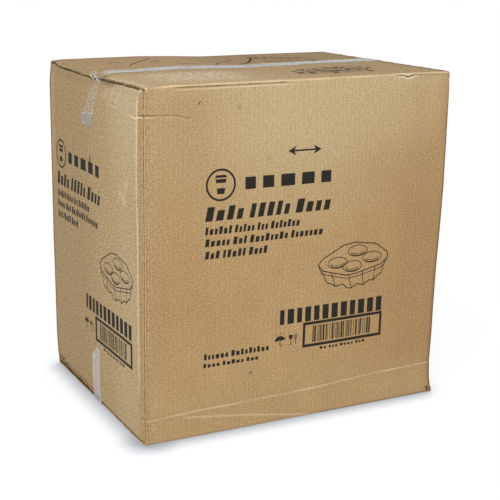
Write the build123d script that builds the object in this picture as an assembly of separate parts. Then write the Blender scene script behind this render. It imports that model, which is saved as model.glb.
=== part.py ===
from build123d import *
import os

# Shipping carton of single-wall corrugated board, folded from one blank and sealed with tape.
# It is a regular slotted carton: four side panels make a tube, and four flaps close each end.
# The long panels carry the major flaps, which meet at a seam along the length. The end panels
# carry the minor flaps, which are folded first and lie one board further in.
# X runs along the length, Y to the back, Z up, and the origin is the middle of the base.
# All sizes are millimetres.

# Carton, over the outside
length = 540.0
width = 408.0
height = 556.0

# Board
board = 4.0  # C flute, single wall
liner = 0.7  # each facing sheet
fold_inside = 0.6  # inner radius of a scored fold

# Blank
seam_gap = 2.0  # between the meeting edges of two major flaps
leaf_gap = 0.4  # between a major flap and the minor flap under it
flap_setback = 1.0  # a major flap stops this far inside the outer face of the ends
slot_relief = 1.5  # the corner slot runs this far past the bend into the end panel
slot_root = 2.5  # and this much deeper than the lower fold
glue_tab = 25.0  # how far the glued tab reaches behind the left end panel
joint_setback = 0.6  # the cut edge of that panel stops this far short of the front
open_flute = 2.5  # depth of the open flute in a cut edge

# Clear tape
film = 0.3
tape_width = 48.0
top_tail_length = 90.0  # down each end, from the top of the carton
top_tail_lean = 37.0  # the left one was pressed down askew, its tip this far to the back
bottom_tail_length = 96.0  # up each end, from the base
bottom_tail_lean = 10.0

# Worked out from the sizes above
fold_outside = fold_inside + board
slot_side = fold_outside + slot_relief
flap_depth = (width - seam_gap) / 2
leaf_drop = board + leaf_gap
root_drop = leaf_drop + fold_outside + slot_root
left, right = -length / 2, length / 2
front, back = -width / 2, width / 2
joint_left = left + board
joint_edge = front + joint_setback
tape_bend = flap_setback  # the tape turns over the cut ends of the flaps


def edge_on(plane, points, radius, thickness):
    """The face of a bent sheet seen on edge: the sheet lies to the left of its path."""
    path = FilletPolyline(*points, radius=radius)
    outline = offset(path, amount=thickness, side=Side.LEFT)
    return plane * make_face(outline.edges())


def block(low, high):
    """A box between two opposite corners."""
    size = [far - near for near, far in zip(low, high)]
    return Pos(*low) * Box(*size, align=Align.MIN)


def side_tube():
    """The four side panels between the slots, with the glued tab behind the last one."""
    tab_to_front = [(joint_left, front + glue_tab), (joint_left, front), (0, front)]
    front_to_joint = [(0, front), (right, front), (right, back), (left, back), (left, joint_edge)]
    root = Plane.XY.offset(root_drop)
    tall = height - 2 * root_drop
    tube = extrude(edge_on(root, tab_to_front, fold_outside, board), tall)
    tube += extrude(edge_on(root, front_to_joint, fold_outside, board), tall)
    # The cut edge at the glued joint shows its open flute, and clears the flaps above and below
    tube -= block(
        (left + liner, joint_edge, root_drop),
        (joint_left - liner, joint_edge + open_flute, height - root_drop),
    )
    for low in (root_drop, height - root_drop - leaf_gap):
        tube -= block((left, front, low), (joint_left, front + fold_outside, low + leaf_gap))
    return tube


def major_flaps():
    """The top and bottom flap of the front panel, with their folds, down to the slots' roots."""
    seam = -seam_gap / 2
    cut_left, cut_right = left + flap_setback, right - flap_setback
    points = [(seam, height), (front, height), (front, 0), (seam, 0)]
    start = Plane.YZ.offset(cut_left)
    flaps = extrude(edge_on(start, points, fold_outside, board), cut_right - cut_left)
    flaps -= block((cut_left, front, root_drop), (cut_right, seam, height - root_drop))
    for low in (0, height - board):
        for near in (cut_left, cut_right - open_flute):
            flaps -= block(
                (near, front + fold_outside, low + liner),
                (near + open_flute, seam, low + board - liner),
            )
    return flaps


def end_panel():
    """The right end panel between its slots, with its top and bottom minor flap."""
    reach = right - flap_depth
    low, high = leaf_drop, height - leaf_drop
    points = [(reach, low), (right, low), (right, high), (reach, high)]
    start = Plane.XZ.offset(front + slot_side)
    return extrude(edge_on(start, points, fold_outside, board), width - 2 * slot_side)


def make_carton(tape_under):
    """The folded blank. The tape under it is pressed flush into the bottom flaps."""
    carton = side_tube()
    carton += major_flaps()
    carton += mirror(major_flaps(), Plane.XZ)
    carton += end_panel()
    carton += mirror(end_panel(), Plane.YZ)
    return carton - tape_under


def tape_tail(side, bend_end, tip, lean):
    """The stretch of tape on one end face. Side is -1 for the left end and 1 for the right."""
    half = tape_width / 2
    corners = [(-half, bend_end), (half, bend_end), (half + lean, tip), (-half + lean, tip)]
    end_face = Plane.YZ.offset(side * right)
    return extrude(end_face * make_face(Polyline(*corners, close=True)), side * film)


def tape_strip(surface, up, tail_length, lean):
    """Tape along the seam at a height, bent over both ends. Up is 1 on top and -1 underneath."""
    bend_end = surface - up * 2 * tape_bend
    tip = surface - up * tail_length
    points = [(-up * right, bend_end), (-up * right, surface)]
    points += [(up * right, surface), (up * right, bend_end)]
    start = Plane.XZ.offset(-tape_width / 2)
    strip = extrude(edge_on(start, points, tape_bend, film), tape_width)
    return strip + tape_tail(-1, bend_end, tip, lean) + tape_tail(1, bend_end, tip, 0)


top_tape = tape_strip(height, 1, top_tail_length, top_tail_lean)
bottom_tape = tape_strip(film, -1, bottom_tail_length, bottom_tail_lean)
nodes = {
    "carton": make_carton(bottom_tape),
    "top_tape": top_tape,
    "bottom_tape": bottom_tape,
}

os.makedirs("parts", exist_ok=True)
for name, shape in nodes.items():
    solids = shape.solids()
    print(name, len(solids), "solid", round(sum(solid.volume for solid in solids)), "mm3")
    export_step(Compound(solids), f"parts/{name}.step")
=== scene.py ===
# %% [markdown]
# # A taped shipping carton, step by step
# The real thing is one sheet of corrugated kraft board, cut, scored, folded into a box and
# closed with clear tape. This lesson makes it the same way: the flat sheet is a grid of cells,
# one function folds it, another wears it, and the print and the tape follow the worn surface.
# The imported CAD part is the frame: its solids give every size, and stay hidden behind the
# pieces that stand for them.

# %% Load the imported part
import math

import bmesh
import bpy
import numpy as np
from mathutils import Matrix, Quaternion, Vector


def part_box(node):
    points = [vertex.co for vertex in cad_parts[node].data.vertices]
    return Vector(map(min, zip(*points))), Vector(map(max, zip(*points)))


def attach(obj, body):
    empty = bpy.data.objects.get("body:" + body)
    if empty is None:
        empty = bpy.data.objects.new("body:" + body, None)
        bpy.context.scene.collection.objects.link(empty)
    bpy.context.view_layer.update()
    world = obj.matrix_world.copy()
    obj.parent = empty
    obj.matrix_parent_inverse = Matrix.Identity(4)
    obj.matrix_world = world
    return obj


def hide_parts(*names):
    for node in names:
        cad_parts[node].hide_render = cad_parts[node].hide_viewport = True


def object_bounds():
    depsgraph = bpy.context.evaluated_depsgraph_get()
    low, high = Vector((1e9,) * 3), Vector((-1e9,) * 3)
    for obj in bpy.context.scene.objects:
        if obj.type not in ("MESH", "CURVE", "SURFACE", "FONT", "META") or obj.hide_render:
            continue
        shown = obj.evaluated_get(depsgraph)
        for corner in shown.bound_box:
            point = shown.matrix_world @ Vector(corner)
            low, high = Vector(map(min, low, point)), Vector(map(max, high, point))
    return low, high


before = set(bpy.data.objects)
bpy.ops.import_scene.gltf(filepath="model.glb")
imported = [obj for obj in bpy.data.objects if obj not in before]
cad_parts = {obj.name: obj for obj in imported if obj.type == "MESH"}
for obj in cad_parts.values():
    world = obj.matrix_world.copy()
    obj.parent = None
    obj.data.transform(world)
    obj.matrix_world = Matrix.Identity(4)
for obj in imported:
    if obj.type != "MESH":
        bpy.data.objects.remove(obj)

cad_low, cad_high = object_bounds()
print("CAD box", [round(side, 4) for side in cad_high - cad_low])

# %% [markdown]
# ## Camera
# The photograph shows a corner of the carton from a little above, with a long lens, so that
# its verticals nearly stay parallel. The place could be guessed and nudged. It was found by
# fitting a box of the carton's three sizes to the seven corners that the photograph shows.

# %% Camera
camera_place = Vector((-0.8901, -1.7247, 0.7607))
camera_target = Vector((0.00665, -0.01514, 0.23981))
camera_roll = math.radians(1.136)
camera_data = bpy.data.cameras.new("camera")
camera_data.sensor_width = 36.0
camera_data.lens = 82.51
camera = bpy.data.objects.new("camera", camera_data)
bpy.context.scene.collection.objects.link(camera)
camera.location = camera_place
level = (camera_target - camera_place).to_track_quat("-Z", "Y")
camera.rotation_euler = (level @ Quaternion((0, 0, 1), camera_roll)).to_euler()
bpy.context.scene.camera = camera
bpy.context.scene.view_settings.view_transform = "Standard"
print("camera", round((camera_target - camera_place).length, 3), "m away")

# %% [markdown]
# ## Colours and nodes
# Colours are written as the eye sees them, in sRGB, and one function turns them to the linear
# values that the renderer adds up. A second function adds one node with its settings and what
# goes into it, so that each material below reads as a list.


# %% Helpers for materials
def linear(code):
    """An sRGB hex colour as linear red, green, blue and alpha."""
    parts = [int(code[at:at + 2], 16) / 255 for at in (1, 3, 5)]
    return [part / 12.92 if part <= 0.04045 else ((part + 0.055) / 1.055) ** 2.4 for part in parts] + [1.0]


def add(tree, kind, settings=None, **inputs):
    """One node. An input is a value or another node's output, under its name, or as i0 and so on."""
    made = tree.nodes.new(kind)
    for name, value in (settings or {}).items():
        setattr(made, name, value)
    for name, value in inputs.items():
        socket = made.inputs[int(name[1:])] if name[1:].isdigit() else made.inputs[name.replace("_", " ")]
        if isinstance(value, bpy.types.NodeSocket):
            tree.links.new(value, socket)
        else:
            socket.default_value = value
    return made


def new_material(name):
    """A material and its tree, still empty."""
    material = bpy.data.materials.new(name)
    material.use_nodes = True
    material.node_tree.nodes.clear()
    return material, material.node_tree


print("sRGB mid grey is", round(linear("#808080")[0], 3), "in linear light")

# %% [markdown]
# ## Sky
# The photograph is a product cut-out on pure white, lit softly from all sides. A picture of a
# studio could give that light, and a plain pale sky does it as well for a matt box. The white
# behind comes from Light Path, which tells the rays that the camera sees from those that only
# carry light, so the background is white and no extra light falls on the board.


# %% Sky
def seen_rays(tree):
    """1 for a ray that the camera sees, straight, mirrored or through clear film, and otherwise 0."""
    rays = add(tree, "ShaderNodeLightPath").outputs
    seen = rays["Is Camera Ray"]
    for kind in ("Is Glossy Ray", "Is Transmission Ray"):
        seen = add(tree, "ShaderNodeMath", {"operation": "MAXIMUM"}, i0=seen, i1=rays[kind]).outputs[0]
    return seen


world = bpy.data.worlds.new("studio")
bpy.context.scene.world = world
world.use_nodes = True
sky = world.node_tree
sky.nodes.clear()
soft_sky = add(sky, "ShaderNodeBackground", Color=linear("#ffffff"), Strength=0.62)
white_sky = add(sky, "ShaderNodeBackground", Color=linear("#ffffff"), Strength=1.0)
both = add(sky, "ShaderNodeMixShader", i0=seen_rays(sky), i1=soft_sky.outputs[0], i2=white_sky.outputs[0])
add(sky, "ShaderNodeOutputWorld", Surface=both.outputs[0])
print("sky", round(soft_sky.inputs["Strength"].default_value, 2))

# %% [markdown]
# ## Lamps
# A studio lights a box with soft boxes: wide, even windows of light. Here one stands high on
# the left and models the corner, a weaker one low in front opens the long panel, and a third
# behind gives the hidden sides some shape. Area lamps are such windows, and their size sets
# how soft the shadows are.


# %% Lamps
def soft_lamp(name, place, size, watts):
    """A square area lamp that faces the middle of the carton."""
    data = bpy.data.lights.new(name, "AREA")
    data.size = size
    data.energy = watts
    lamp = bpy.data.objects.new(name, data)
    bpy.context.scene.collection.objects.link(lamp)
    lamp.location = place
    lamp.rotation_euler = (Vector((0, 0, 0.35)) - Vector(place)).to_track_quat("-Z", "Y").to_euler()
    return lamp


key_lamp = soft_lamp("key_lamp", (-1.7, -1.75, 2.0), 1.4, 36.0)
fill_lamp = soft_lamp("fill_lamp", (0.6, -2.3, 0.45), 1.6, 11.0)
back_lamp = soft_lamp("back_lamp", (2.3, 1.5, 0.35), 0.9, 9.0)
print("lamps", key_lamp.name, fill_lamp.name, back_lamp.name)

# %% [markdown]
# ## Floor
# The ground is white paper, with a soft grey shadow that hugs the foot of the carton and fades out in a
# hand's width. Ambient occlusion measures how much of the sky a point of the floor still sees, which is such
# a shadow, and it paints the floor's glow grey; its normal leans so that the grey falls to the left and the
# front. A little more painted shadow, grey by the distance from the nearest corner, lies at that corner.


# %% Floor
def layer(tree, under, value, low, high, most, colour, least=0.0):
    """A colour over another: its share runs from least to most as a value runs from low to high."""
    share = add(tree, "ShaderNodeMapRange", Value=value, From_Min=low, From_Max=high,
                To_Min=least, To_Max=most)
    mixed = add(tree, "ShaderNodeMix", {"data_type": "RGBA"},
                i0=share.outputs[0], i6=under, i7=linear(colour))
    return mixed.outputs[2]


shadow_reach, corner_reach = 0.046, 0.06
floor_material, tree = new_material("white_floor")
lit = add(tree, "ShaderNodeBsdfDiffuse", Color=linear("#f2f2f2"))
open_sky = add(tree, "ShaderNodeAmbientOcclusion", {"samples": 12}, Distance=shadow_reach,
               Normal=(-0.08, 0.30, 0.95))
ground = add(tree, "ShaderNodeTexCoord").outputs["Object"]
foot = (float(cad_low[0]), float(cad_low[1]), 0.0)
from_foot = add(tree, "ShaderNodeVectorMath", {"operation": "DISTANCE"}, i0=ground, i1=foot)
# painted shadow: more grey near the nearest corner of the foot
at_foot = add(tree, "ShaderNodeMapRange", Value=from_foot.outputs["Value"],
              From_Min=0.002, From_Max=corner_reach, To_Min=0.26, To_Max=0.0)
shade = add(tree, "ShaderNodeMath", {"operation": "SUBTRACT"},
            i0=open_sky.outputs["AO"], i1=at_foot.outputs[0])
contact = layer(tree, linear("#a3a5ab"), shade.outputs[0], 0.42, 0.90, 1.0, "#ffffff")
glow = add(tree, "ShaderNodeEmission", Color=contact, Strength=0.88)
dimmed = add(tree, "ShaderNodeBsdfDiffuse", Color=linear("#6a6e74"))
near = add(tree, "ShaderNodeAddShader", i0=glow.outputs[0], i1=dimmed.outputs[0])
white = add(tree, "ShaderNodeEmission", Color=linear("#ffffff"), Strength=1.0)
away = add(tree, "ShaderNodeVectorMath", {"operation": "LENGTH"}, i0=ground)
far_share = add(tree, "ShaderNodeMapRange", Value=away.outputs["Value"], From_Min=0.5, From_Max=0.8)
shown = add(tree, "ShaderNodeMixShader", i0=far_share.outputs[0], i1=near.outputs[0], i2=white.outputs[0])
choice = add(tree, "ShaderNodeMixShader", i0=seen_rays(tree), i1=lit.outputs[0], i2=shown.outputs[0])
add(tree, "ShaderNodeOutputMaterial", Surface=choice.outputs[0])
floor_half = 6.0
corners = [(across * floor_half, deep * floor_half, 0)
           for across, deep in ((-1, -1), (1, -1), (1, 1), (-1, 1))]
floor_mesh = bpy.data.meshes.new("floor")
floor_mesh.from_pydata(corners, [], [(0, 1, 2, 3)])
floor = bpy.data.objects.new("floor", floor_mesh)
bpy.context.scene.collection.objects.link(floor)
floor.data.materials.append(floor_material)
print("floor", 2 * floor_half, "m square")

# %% [markdown]
# ## The flat sheet
# The board is single-wall with a C flute, 4 mm thick. From here on sizes are in millimetres,
# and one helper turns them to metres as it makes a mesh. The three outer sizes are read from
# the CAD part, and the small ones are those of its drawing.

# %% Sizes of the sheet
MM = 0.001
low, high = [np.array(corner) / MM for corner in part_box("carton")]
left, front, base = low
right, back, top = high
board = 4.0
liner = 0.7
fold = 4.6  # outer radius of a scored fold
fold_length = fold * math.pi / 2
seam_gap = 2.0  # between the two major flaps, under the tape
leaf_drop = 4.4  # the minor flaps lie this far under the top
root_drop = 11.5  # the corner slots start this far under the top
slot_side = 6.1  # and reach this far into the end panels
flap_depth = (back - front - seam_gap) / 2
tab_reach = 25.0
glue_line = 0.15
joint_setback = 0.6
print("sheet", round(right - left), round(back - front), round(top - base), "mm")

# %% [markdown]
# ## Walking round the tube
# A box plant folds the blank round into a tube and glues a tab under its last edge. Boxes set
# on edge would give sharp corners and four loose walls. So the outline is walked like a turtle
# instead: five straight runs, with a rounded quarter turn between them, from the tab inside the
# left panel round to that panel's cut edge. `along` is the length walked.

# %% Walk round the tube
TAB, FRONT, RIGHT, BACK, LEFT = range(5)
headings = np.array([(0, -1), (1, 0), (0, 1), (-1, 0), (0, -1)], float)
outward = np.array([(-1, 0), (0, -1), (1, 0), (0, 1), (-1, 0)], float)
tab_face = left + board - glue_line
starts = np.array([
    (tab_face, front + tab_reach),
    (tab_face + fold, front),
    (right, front + fold),
    (right - fold, back),
    (left, back - fold),
])
runs = np.array([
    tab_reach - fold,
    right - fold - (tab_face + fold),
    back - front - 2 * fold,
    right - left - 2 * fold,
    back - fold - (front + joint_setback),
])
run_starts = np.concatenate([[0], np.cumsum(runs[:-1] + fold_length)])
hair = 1e-9  # so that rounding drops no point between a run and a turn


def tube_point(along):
    """Place and outward direction, seen from above, for each length along the tube."""
    place = np.zeros((len(along), 2))
    out = np.zeros((len(along), 2))
    for panel in range(5):
        past = along - run_starts[panel]
        straight = (past >= -hair) & (past <= runs[panel] + hair)
        place[straight] = starts[panel] + past[straight, None] * headings[panel]
        out[straight] = outward[panel]
        if panel < LEFT:
            turn = (past - runs[panel]) / fold
            bent = (turn > 0) & (turn < math.pi / 2)
            angle = turn[bent, None]
            centre = starts[panel] + runs[panel] * headings[panel] - fold * outward[panel]
            out[bent] = np.cos(angle) * outward[panel] + np.sin(angle) * headings[panel]
            place[bent] = centre + fold * out[bent]
    return place, out


print("tube", round(run_starts[-1] + runs[-1]), "mm round")

# %% [markdown]
# ## Columns and rows
# A crease only shows if the cells beside it are narrow, and a plain panel needs few. An even
# grid fine enough for the creases would be too heavy, so each stretch gets a step of its own:
# 8 mm columns, finer beside the crease near the front left corner and coarser on the hidden
# sides, and rows that are finer where the creases and folds run.


# %% Columns and rows
def stepped(*stops):
    """Places along a line, given as place, step, place, step and so on to the last place."""
    places = [float(stops[0])]
    for start, step, end in zip(stops[:-2:2], stops[1::2], stops[2::2]):
        count = max(1, round(abs(end - start) / step))
        places += list(np.linspace(start, end, count + 1)[1:])
    return np.array(places)


one_cell = 99.0  # a step longer than the stretch
slot_cut = slot_side - fold
nick_from, nick_to = 424.0, 476.0  # where the top fold is torn
right_edge = runs[FRONT] - 12
crease_from = back - fold + 177
crease_to = back - fold - front - slot_side
panel_columns = [
    stepped(0, 8.0, runs[TAB]),
    stepped(0, 7.9, nick_from, 2.6, nick_to, 7.9, right_edge, 1.7, runs[FRONT]),
    stepped(0, one_cell, slot_cut, 12.0, runs[RIGHT] - slot_cut, one_cell, runs[RIGHT]),
    stepped(0, 13.0, runs[BACK]),
    stepped(0, one_cell, slot_cut, 8.0, crease_from, 1.9, crease_to, one_cell, runs[LEFT]),
]
half_fold = 3  # cells in half a fold
fold_steps = np.linspace(0, fold_length, 2 * half_fold + 1)
columns = panel_columns[TAB]
panel_first, panel_last = [0], [len(columns) - 1]
for panel in (FRONT, RIGHT, BACK, LEFT):
    columns = np.append(columns, columns[-1] + fold_steps[1:])
    panel_first.append(len(columns) - 1)
    columns = np.append(columns, run_starts[panel] + panel_columns[panel][1:])
    panel_last.append(len(columns) - 1)
rows = stepped(root_drop, 1.75, 68, 8.6, 496, 2.0, 508, 0.9, 519, 4.2, top - root_drop)
print("grid", len(columns), "columns,", len(rows), "rows on the sides")

# %% [markdown]
# ## Folding a flap
# A flap goes on from its panel: straight up past the slots' roots, round a quarter turn, and
# in over the top. The minor flaps turn one board lower, so that the major ones can lie on
# them. The bottom is the same thing upside down. Each row of points keeps its length on the
# flat sheet, so that the paper's grain can later run on round the fold.


# %% Fold a flap
def flap_points(panel, along, lower):
    """Outer points, directions and flat places for the rows of one flap, from the slots' roots inwards."""
    peak = top - (0 if panel in (FRONT, BACK) else leaf_drop)
    bend = peak - fold
    root = top - root_drop
    fine = 0.6 if panel == FRONT and not lower else 1.4
    coarse = 15.0 if lower or panel in (LEFT, RIGHT) else 4.8
    rise_to_bend = stepped(root + (0.4 if panel == RIGHT else 1.2), one_cell, root + 1.6, fine, bend)
    over_the_top = bend + fold_length + stepped(0, coarse, flap_depth - fold)[1:]
    up = np.concatenate([rise_to_bend, bend + fold_steps[1:], over_the_top])
    turn = np.clip((up - bend) / fold, 0, math.pi / 2)
    inward = fold * (1 - np.cos(turn)) + np.maximum(up - bend - fold_length, 0)
    flat = starts[panel] + (along - run_starts[panel])[:, None] * headings[panel]
    points = np.zeros((len(up), len(along), 3))
    out = np.zeros_like(points)
    points[:, :, :2] = flat[None] - inward[:, None, None] * outward[panel]
    points[:, :, 2] = (np.minimum(up, bend) + fold * np.sin(turn))[:, None]
    out[:, :, :2] = np.cos(turn)[:, None, None] * outward[panel]
    out[:, :, 2] = np.sin(turn)[:, None]
    if lower:
        points[:, :, 2] = top - points[:, :, 2]
        out[:, :, 2] = -out[:, :, 2]
        up = top - up
    sheet = np.zeros((len(up), len(along), 2))
    sheet[:, :, 0] = along
    sheet[:, :, 1] = up[:, None]
    return points, out, sheet


print("a flap reaches", round(flap_depth), "mm in")

# %% [markdown]
# ## Folding the sheet
# The side panels are one grid of columns and rows, and each flap is a grid that shares its
# panel's columns. Separate boxes would show seams, so the flaps are sewn to the panels with
# one more row of cells, and the slots are simply the columns that no flap takes. Every point
# keeps its direction outward and its place on the flat blank.

# %% Fold the sheet
place, out = tube_point(columns)
side_points = np.zeros((len(rows), len(columns), 3))
side_points[:, :, :2] = place
side_points[:, :, 2] = rows[:, None]
side_points[-1, -1, 2] += 5.0  # the left panel's last corners were cut at a slant,
side_points[0, -1, 2] -= 7.0  # so its slots nearly close
side_facing = np.zeros_like(side_points)
side_facing[:, :, :2] = out
side_sheet = np.zeros((len(rows), len(columns), 2))
side_sheet[:, :, 0] = columns
side_sheet[:, :, 1] = rows[:, None]
blocks = [(side_points, side_facing, side_sheet)]
side_numbers = np.arange(side_points.shape[0] * side_points.shape[1]).reshape(side_points.shape[:2])
quads = []


def add_cells(grid, flip):
    """The four-cornered cells between neighbours of a grid of point numbers, facing outward."""
    for row, after in zip(grid[:-1], grid[1:]):
        for at in range(len(row) - 1):
            cell = [row[at], row[at + 1], after[at + 1], after[at]]
            quads.append(cell[::-1] if flip else cell)


add_cells(side_numbers, False)
flap_columns = {
    FRONT: (panel_first[FRONT] - 2 * half_fold, panel_last[FRONT] + half_fold),
    RIGHT: (panel_first[RIGHT] + 1, panel_last[RIGHT] - 1),
    BACK: (panel_first[BACK] - half_fold, panel_last[BACK] + half_fold),
    LEFT: (panel_first[LEFT] + 1, panel_last[LEFT] - 1),
}
for lower in (False, True):
    for panel, (first, last) in flap_columns.items():
        points, out, sheet = flap_points(panel, columns[first:last + 1], lower)
        count = sum(block[0].shape[0] * block[0].shape[1] for block in blocks)
        grid = count + np.arange(points.shape[0] * points.shape[1]).reshape(points.shape[:2])
        blocks.append((points, out, sheet))
        add_cells(grid, lower)
        edge_row = side_numbers[0 if lower else -1]
        add_cells(np.stack([edge_row[first:last + 1], grid[0]]), lower)
outer, facing, flat_sheet = [np.concatenate([block[kind].reshape(-1, size) for block in blocks])
                             for kind, size in ((0, 3), (1, 3), (2, 2))]
quads = np.array(quads)
print("folded", len(outer), "points,", len(quads), "cells")

# %% [markdown]
# ## Hills and steps
# Wear could be sculpted by hand, and would then fit this one mesh only. Here each dent is a
# smooth hill or valley with a size in millimetres, added up from a few curves, so that board,
# print and tape can all be moved by the same sum.


# %% Smooth hills and steps
def hill(value, middle, spread):
    """1 at the middle, falling smoothly to 0 some spreads away."""
    return np.exp(-((value - middle) / spread) ** 2)


def ball(x, y, z, middle, size):
    """A hill round one point in space."""
    return np.exp(-((x - middle[0]) ** 2 + (y - middle[1]) ** 2 + (z - middle[2]) ** 2) / size ** 2)


def ramp(value, start, end):
    """0 before the start, 1 after the end, smooth between."""
    share = np.clip((value - start) / (end - start), 0, 1)
    return share * share * (3 - 2 * share)


def span(value, start, full, fading, end):
    """0 outside, 1 between full and fading, smooth at both ends."""
    return ramp(value, start, full) * (1 - ramp(value, fading, end))


print("half a spread off its middle a hill is", round(float(hill(0.5, 0.0, 1.0)), 2), "high")

# %% [markdown]
# ## Crease lines
# A crease is a bent line on a panel, pressed in where something leaned on the carton. Modelled
# edges along it would need a grid made for each, so a crease is measured instead: each point's
# distance from the line sets how deep it is pressed, and the depth fades out at both ends.


# %% Press along a line
def beside_line(first, second, line):
    """Signed distance from a bent line on a panel, the length along it, and its whole length."""
    best = np.full(len(first), 1e9)
    signed = np.zeros(len(first))
    length = np.zeros(len(first))
    walked = 0.0
    for start, end in zip(line[:-1], line[1:]):
        step = np.subtract(end, start)
        size = math.hypot(*step)
        share = np.clip(((first - start[0]) * step[0] + (second - start[1]) * step[1]) / size ** 2, 0, 1)
        away = np.hypot(first - start[0] - share * step[0], second - start[1] - share * step[1])
        side = np.sign((second - start[1]) * step[0] - (first - start[0]) * step[1])
        nearer = away < best
        best = np.where(nearer, away, best)
        signed = np.where(nearer, away * side, signed)
        length = np.where(nearer, walked + share * size, length)
        walked += size
    return signed, length, walked


def crease(first, second, line, depth, spread, fade):
    """A pressed line: its depth at each point, fading out at both ends."""
    signed, length, whole = beside_line(first, second, line)
    return depth * np.exp(-(signed / spread) ** 2) * span(length, -1, fade, whole - fade, whole + 1)


beside = crease(np.array([50.0]), np.array([2.0]), [(0, 0), (100, 0)], 1.0, 3.0, 10)
print("2 mm beside a crease 1 mm deep the board is", round(float(beside[0]), 2), "mm down")

# %% [markdown]
# ## Where the creases run
# Two long creases cross the lower front, and one runs round the top left corner to the left
# panel. On that panel one runs down beside the joint, a short one lies near the top and one
# bends the toe, and the tape pulls three shallow dimples. The front is buckled and torn under
# its top fold. Drawn as curves they could be moved by hand. As lists of the places that they
# pass, x and z on the front and y and z on the left, they can be read off the photograph.

# %% Where the creases run
high_crease = [(-312, 515.5), (-243, 514), (-218, 512.5), (-200, 508.5), (-184, 500)]
long_crease = [(-292, 42), (-186, 47), (-87, 48), (34, 51), (142, 57), (292, 60)]
low_crease = [(-214, 40), (-186, 37), (-87, 23), (36, 2)]
corner_crease = [(-190, 556), (-188.5, 542), (-187, 529), (-185.5, 492), (-184.5, 463), (-184, 388),
                 (-186.5, 351), (-187.5, 234), (-188, 114), (-189, 40)]
side_crease = [(-240, 515), (-196, 514.5), (-184, 511.5), (-150, 513)]
short_crease = [(-116, 516.5), (-97, 518), (-76, 518.5)]
toe_crease = [(-230, 33), (-190, 33), (-178, 34.5), (-140, 29)]
pulled = [[(-70, 548), (-43, 515)], [(-94, 548), (-66, 516)], [(-119, 546), (-92, 514)]]
lip_height = top - 4.0  # a groove under the top fold, where the front panel buckled


def lip_share(x):
    """How strongly the front panel is buckled under its top fold."""
    return span(x, -238, -196, -50, -12) * (0.85 + 0.15 * np.sin(x / 9))


def nick_share(x):
    """How strongly the top fold is torn near its right end."""
    return hill(x, 187, 19)


def nick_height(x):
    """The slit of that tear hangs lowest in its middle."""
    return top - 3.0 - 3.4 * hill(x, 189, 7)


single = [high_crease, long_crease, low_crease, corner_crease, side_crease, short_crease, toe_crease]
print("creases", len(single) + len(pulled))

# %% [markdown]
# ## Bulges and bows
# The carton has been packed full, stacked and pushed about, so its panels swell, its left side
# bows out, most at the back edge, and the lower front right edge is knocked in above a foot
# that sticks out again. Cloth simulation could do this, but not to the shape of one photograph.
# Curves read off the photograph can: each pair of lists gives heights and millimetres.


# %% Bulges and bows
panel_reach = 30.0  # a dent fades out this far behind its panel


def bulged(x, y, z):
    """The contents press the four panels out."""
    middle_x = np.clip(1 - (2 * x / (right - left)) ** 2, 0, 1)
    middle_y = np.clip(1 - (2 * y / (back - front)) ** 2, 0, 1)
    middle_z = np.clip(1 - (2 * z / top - 1) ** 2, 0, 1)
    wave = np.sin(x / 61 + 0.6) * np.sin(z / 83 + 1.1) + 0.6 * np.sin(x / 37 - z / 91 + 2.0)
    side_wave = np.sin(y / 57 + 1.4) * np.sin(z / 77) + 0.6 * np.sin(y / 33 + z / 101)
    to_back = (hill(y, back, panel_reach) * (3.0 + 0.8 * wave)
               - hill(y, front, panel_reach) * (3.2 + 0.9 * wave))
    to_right = (hill(x, right, panel_reach) * (3.0 + 0.8 * side_wave)
                - hill(x, left, panel_reach) * (1.2 + 0.8 * side_wave))
    return np.stack([to_right * middle_y * middle_z, to_back * middle_x * middle_z, 0 * z], axis=1)


def bowed(x, y, z):
    """The left side leans out, and the lower front right edge is pushed in."""
    bow = np.interp(z, [0, 25, 60, 190, 230, 520, 542, 556], [3.4, 5.4, 7, 8, 8.6, 8.6, 6.4, 3.2])
    share = np.interp(y, [front, -187, back], [0, 0.3, 1])
    push = np.interp(z, [0, 10, 29, 60, 108, 161, 231, 301, 371, 529, 543, 556],
                     [-4.8, -2, 1, 3, 1.6, 1.6, 0.4, -2.2, -4, -3.2, -1.6, -0.4])
    to_left = bow * share * hill(x, left, 110.0) + push * hill(x, right, 60.0) * hill(y, front, 90.0)
    rear_tip = 1.6 * ball(x, y, z, (left, back, top), 8.0)
    return np.stack([-to_left - rear_tip, 0 * y, 0 * z], axis=1)


middle_shift = bulged(np.array([0.0]), np.array([front]), np.array([top / 2]))
print("the front swells by", round(float(-middle_shift[0, 1]), 1), "mm in its middle")

# %% [markdown]
# ## Waves up and down
# Flaps are only held by their fold and the tape, so they wave: the top dips and rises along its
# back edge, its seam and its front edge, and the front flap stands up to the right. At the left
# the flaps' cut ends droop. Underneath, the tape is pressed into the board, and the fold of the
# rear minor flap stands off the flaps below it, which leaves the dark gap of the photograph.


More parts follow.
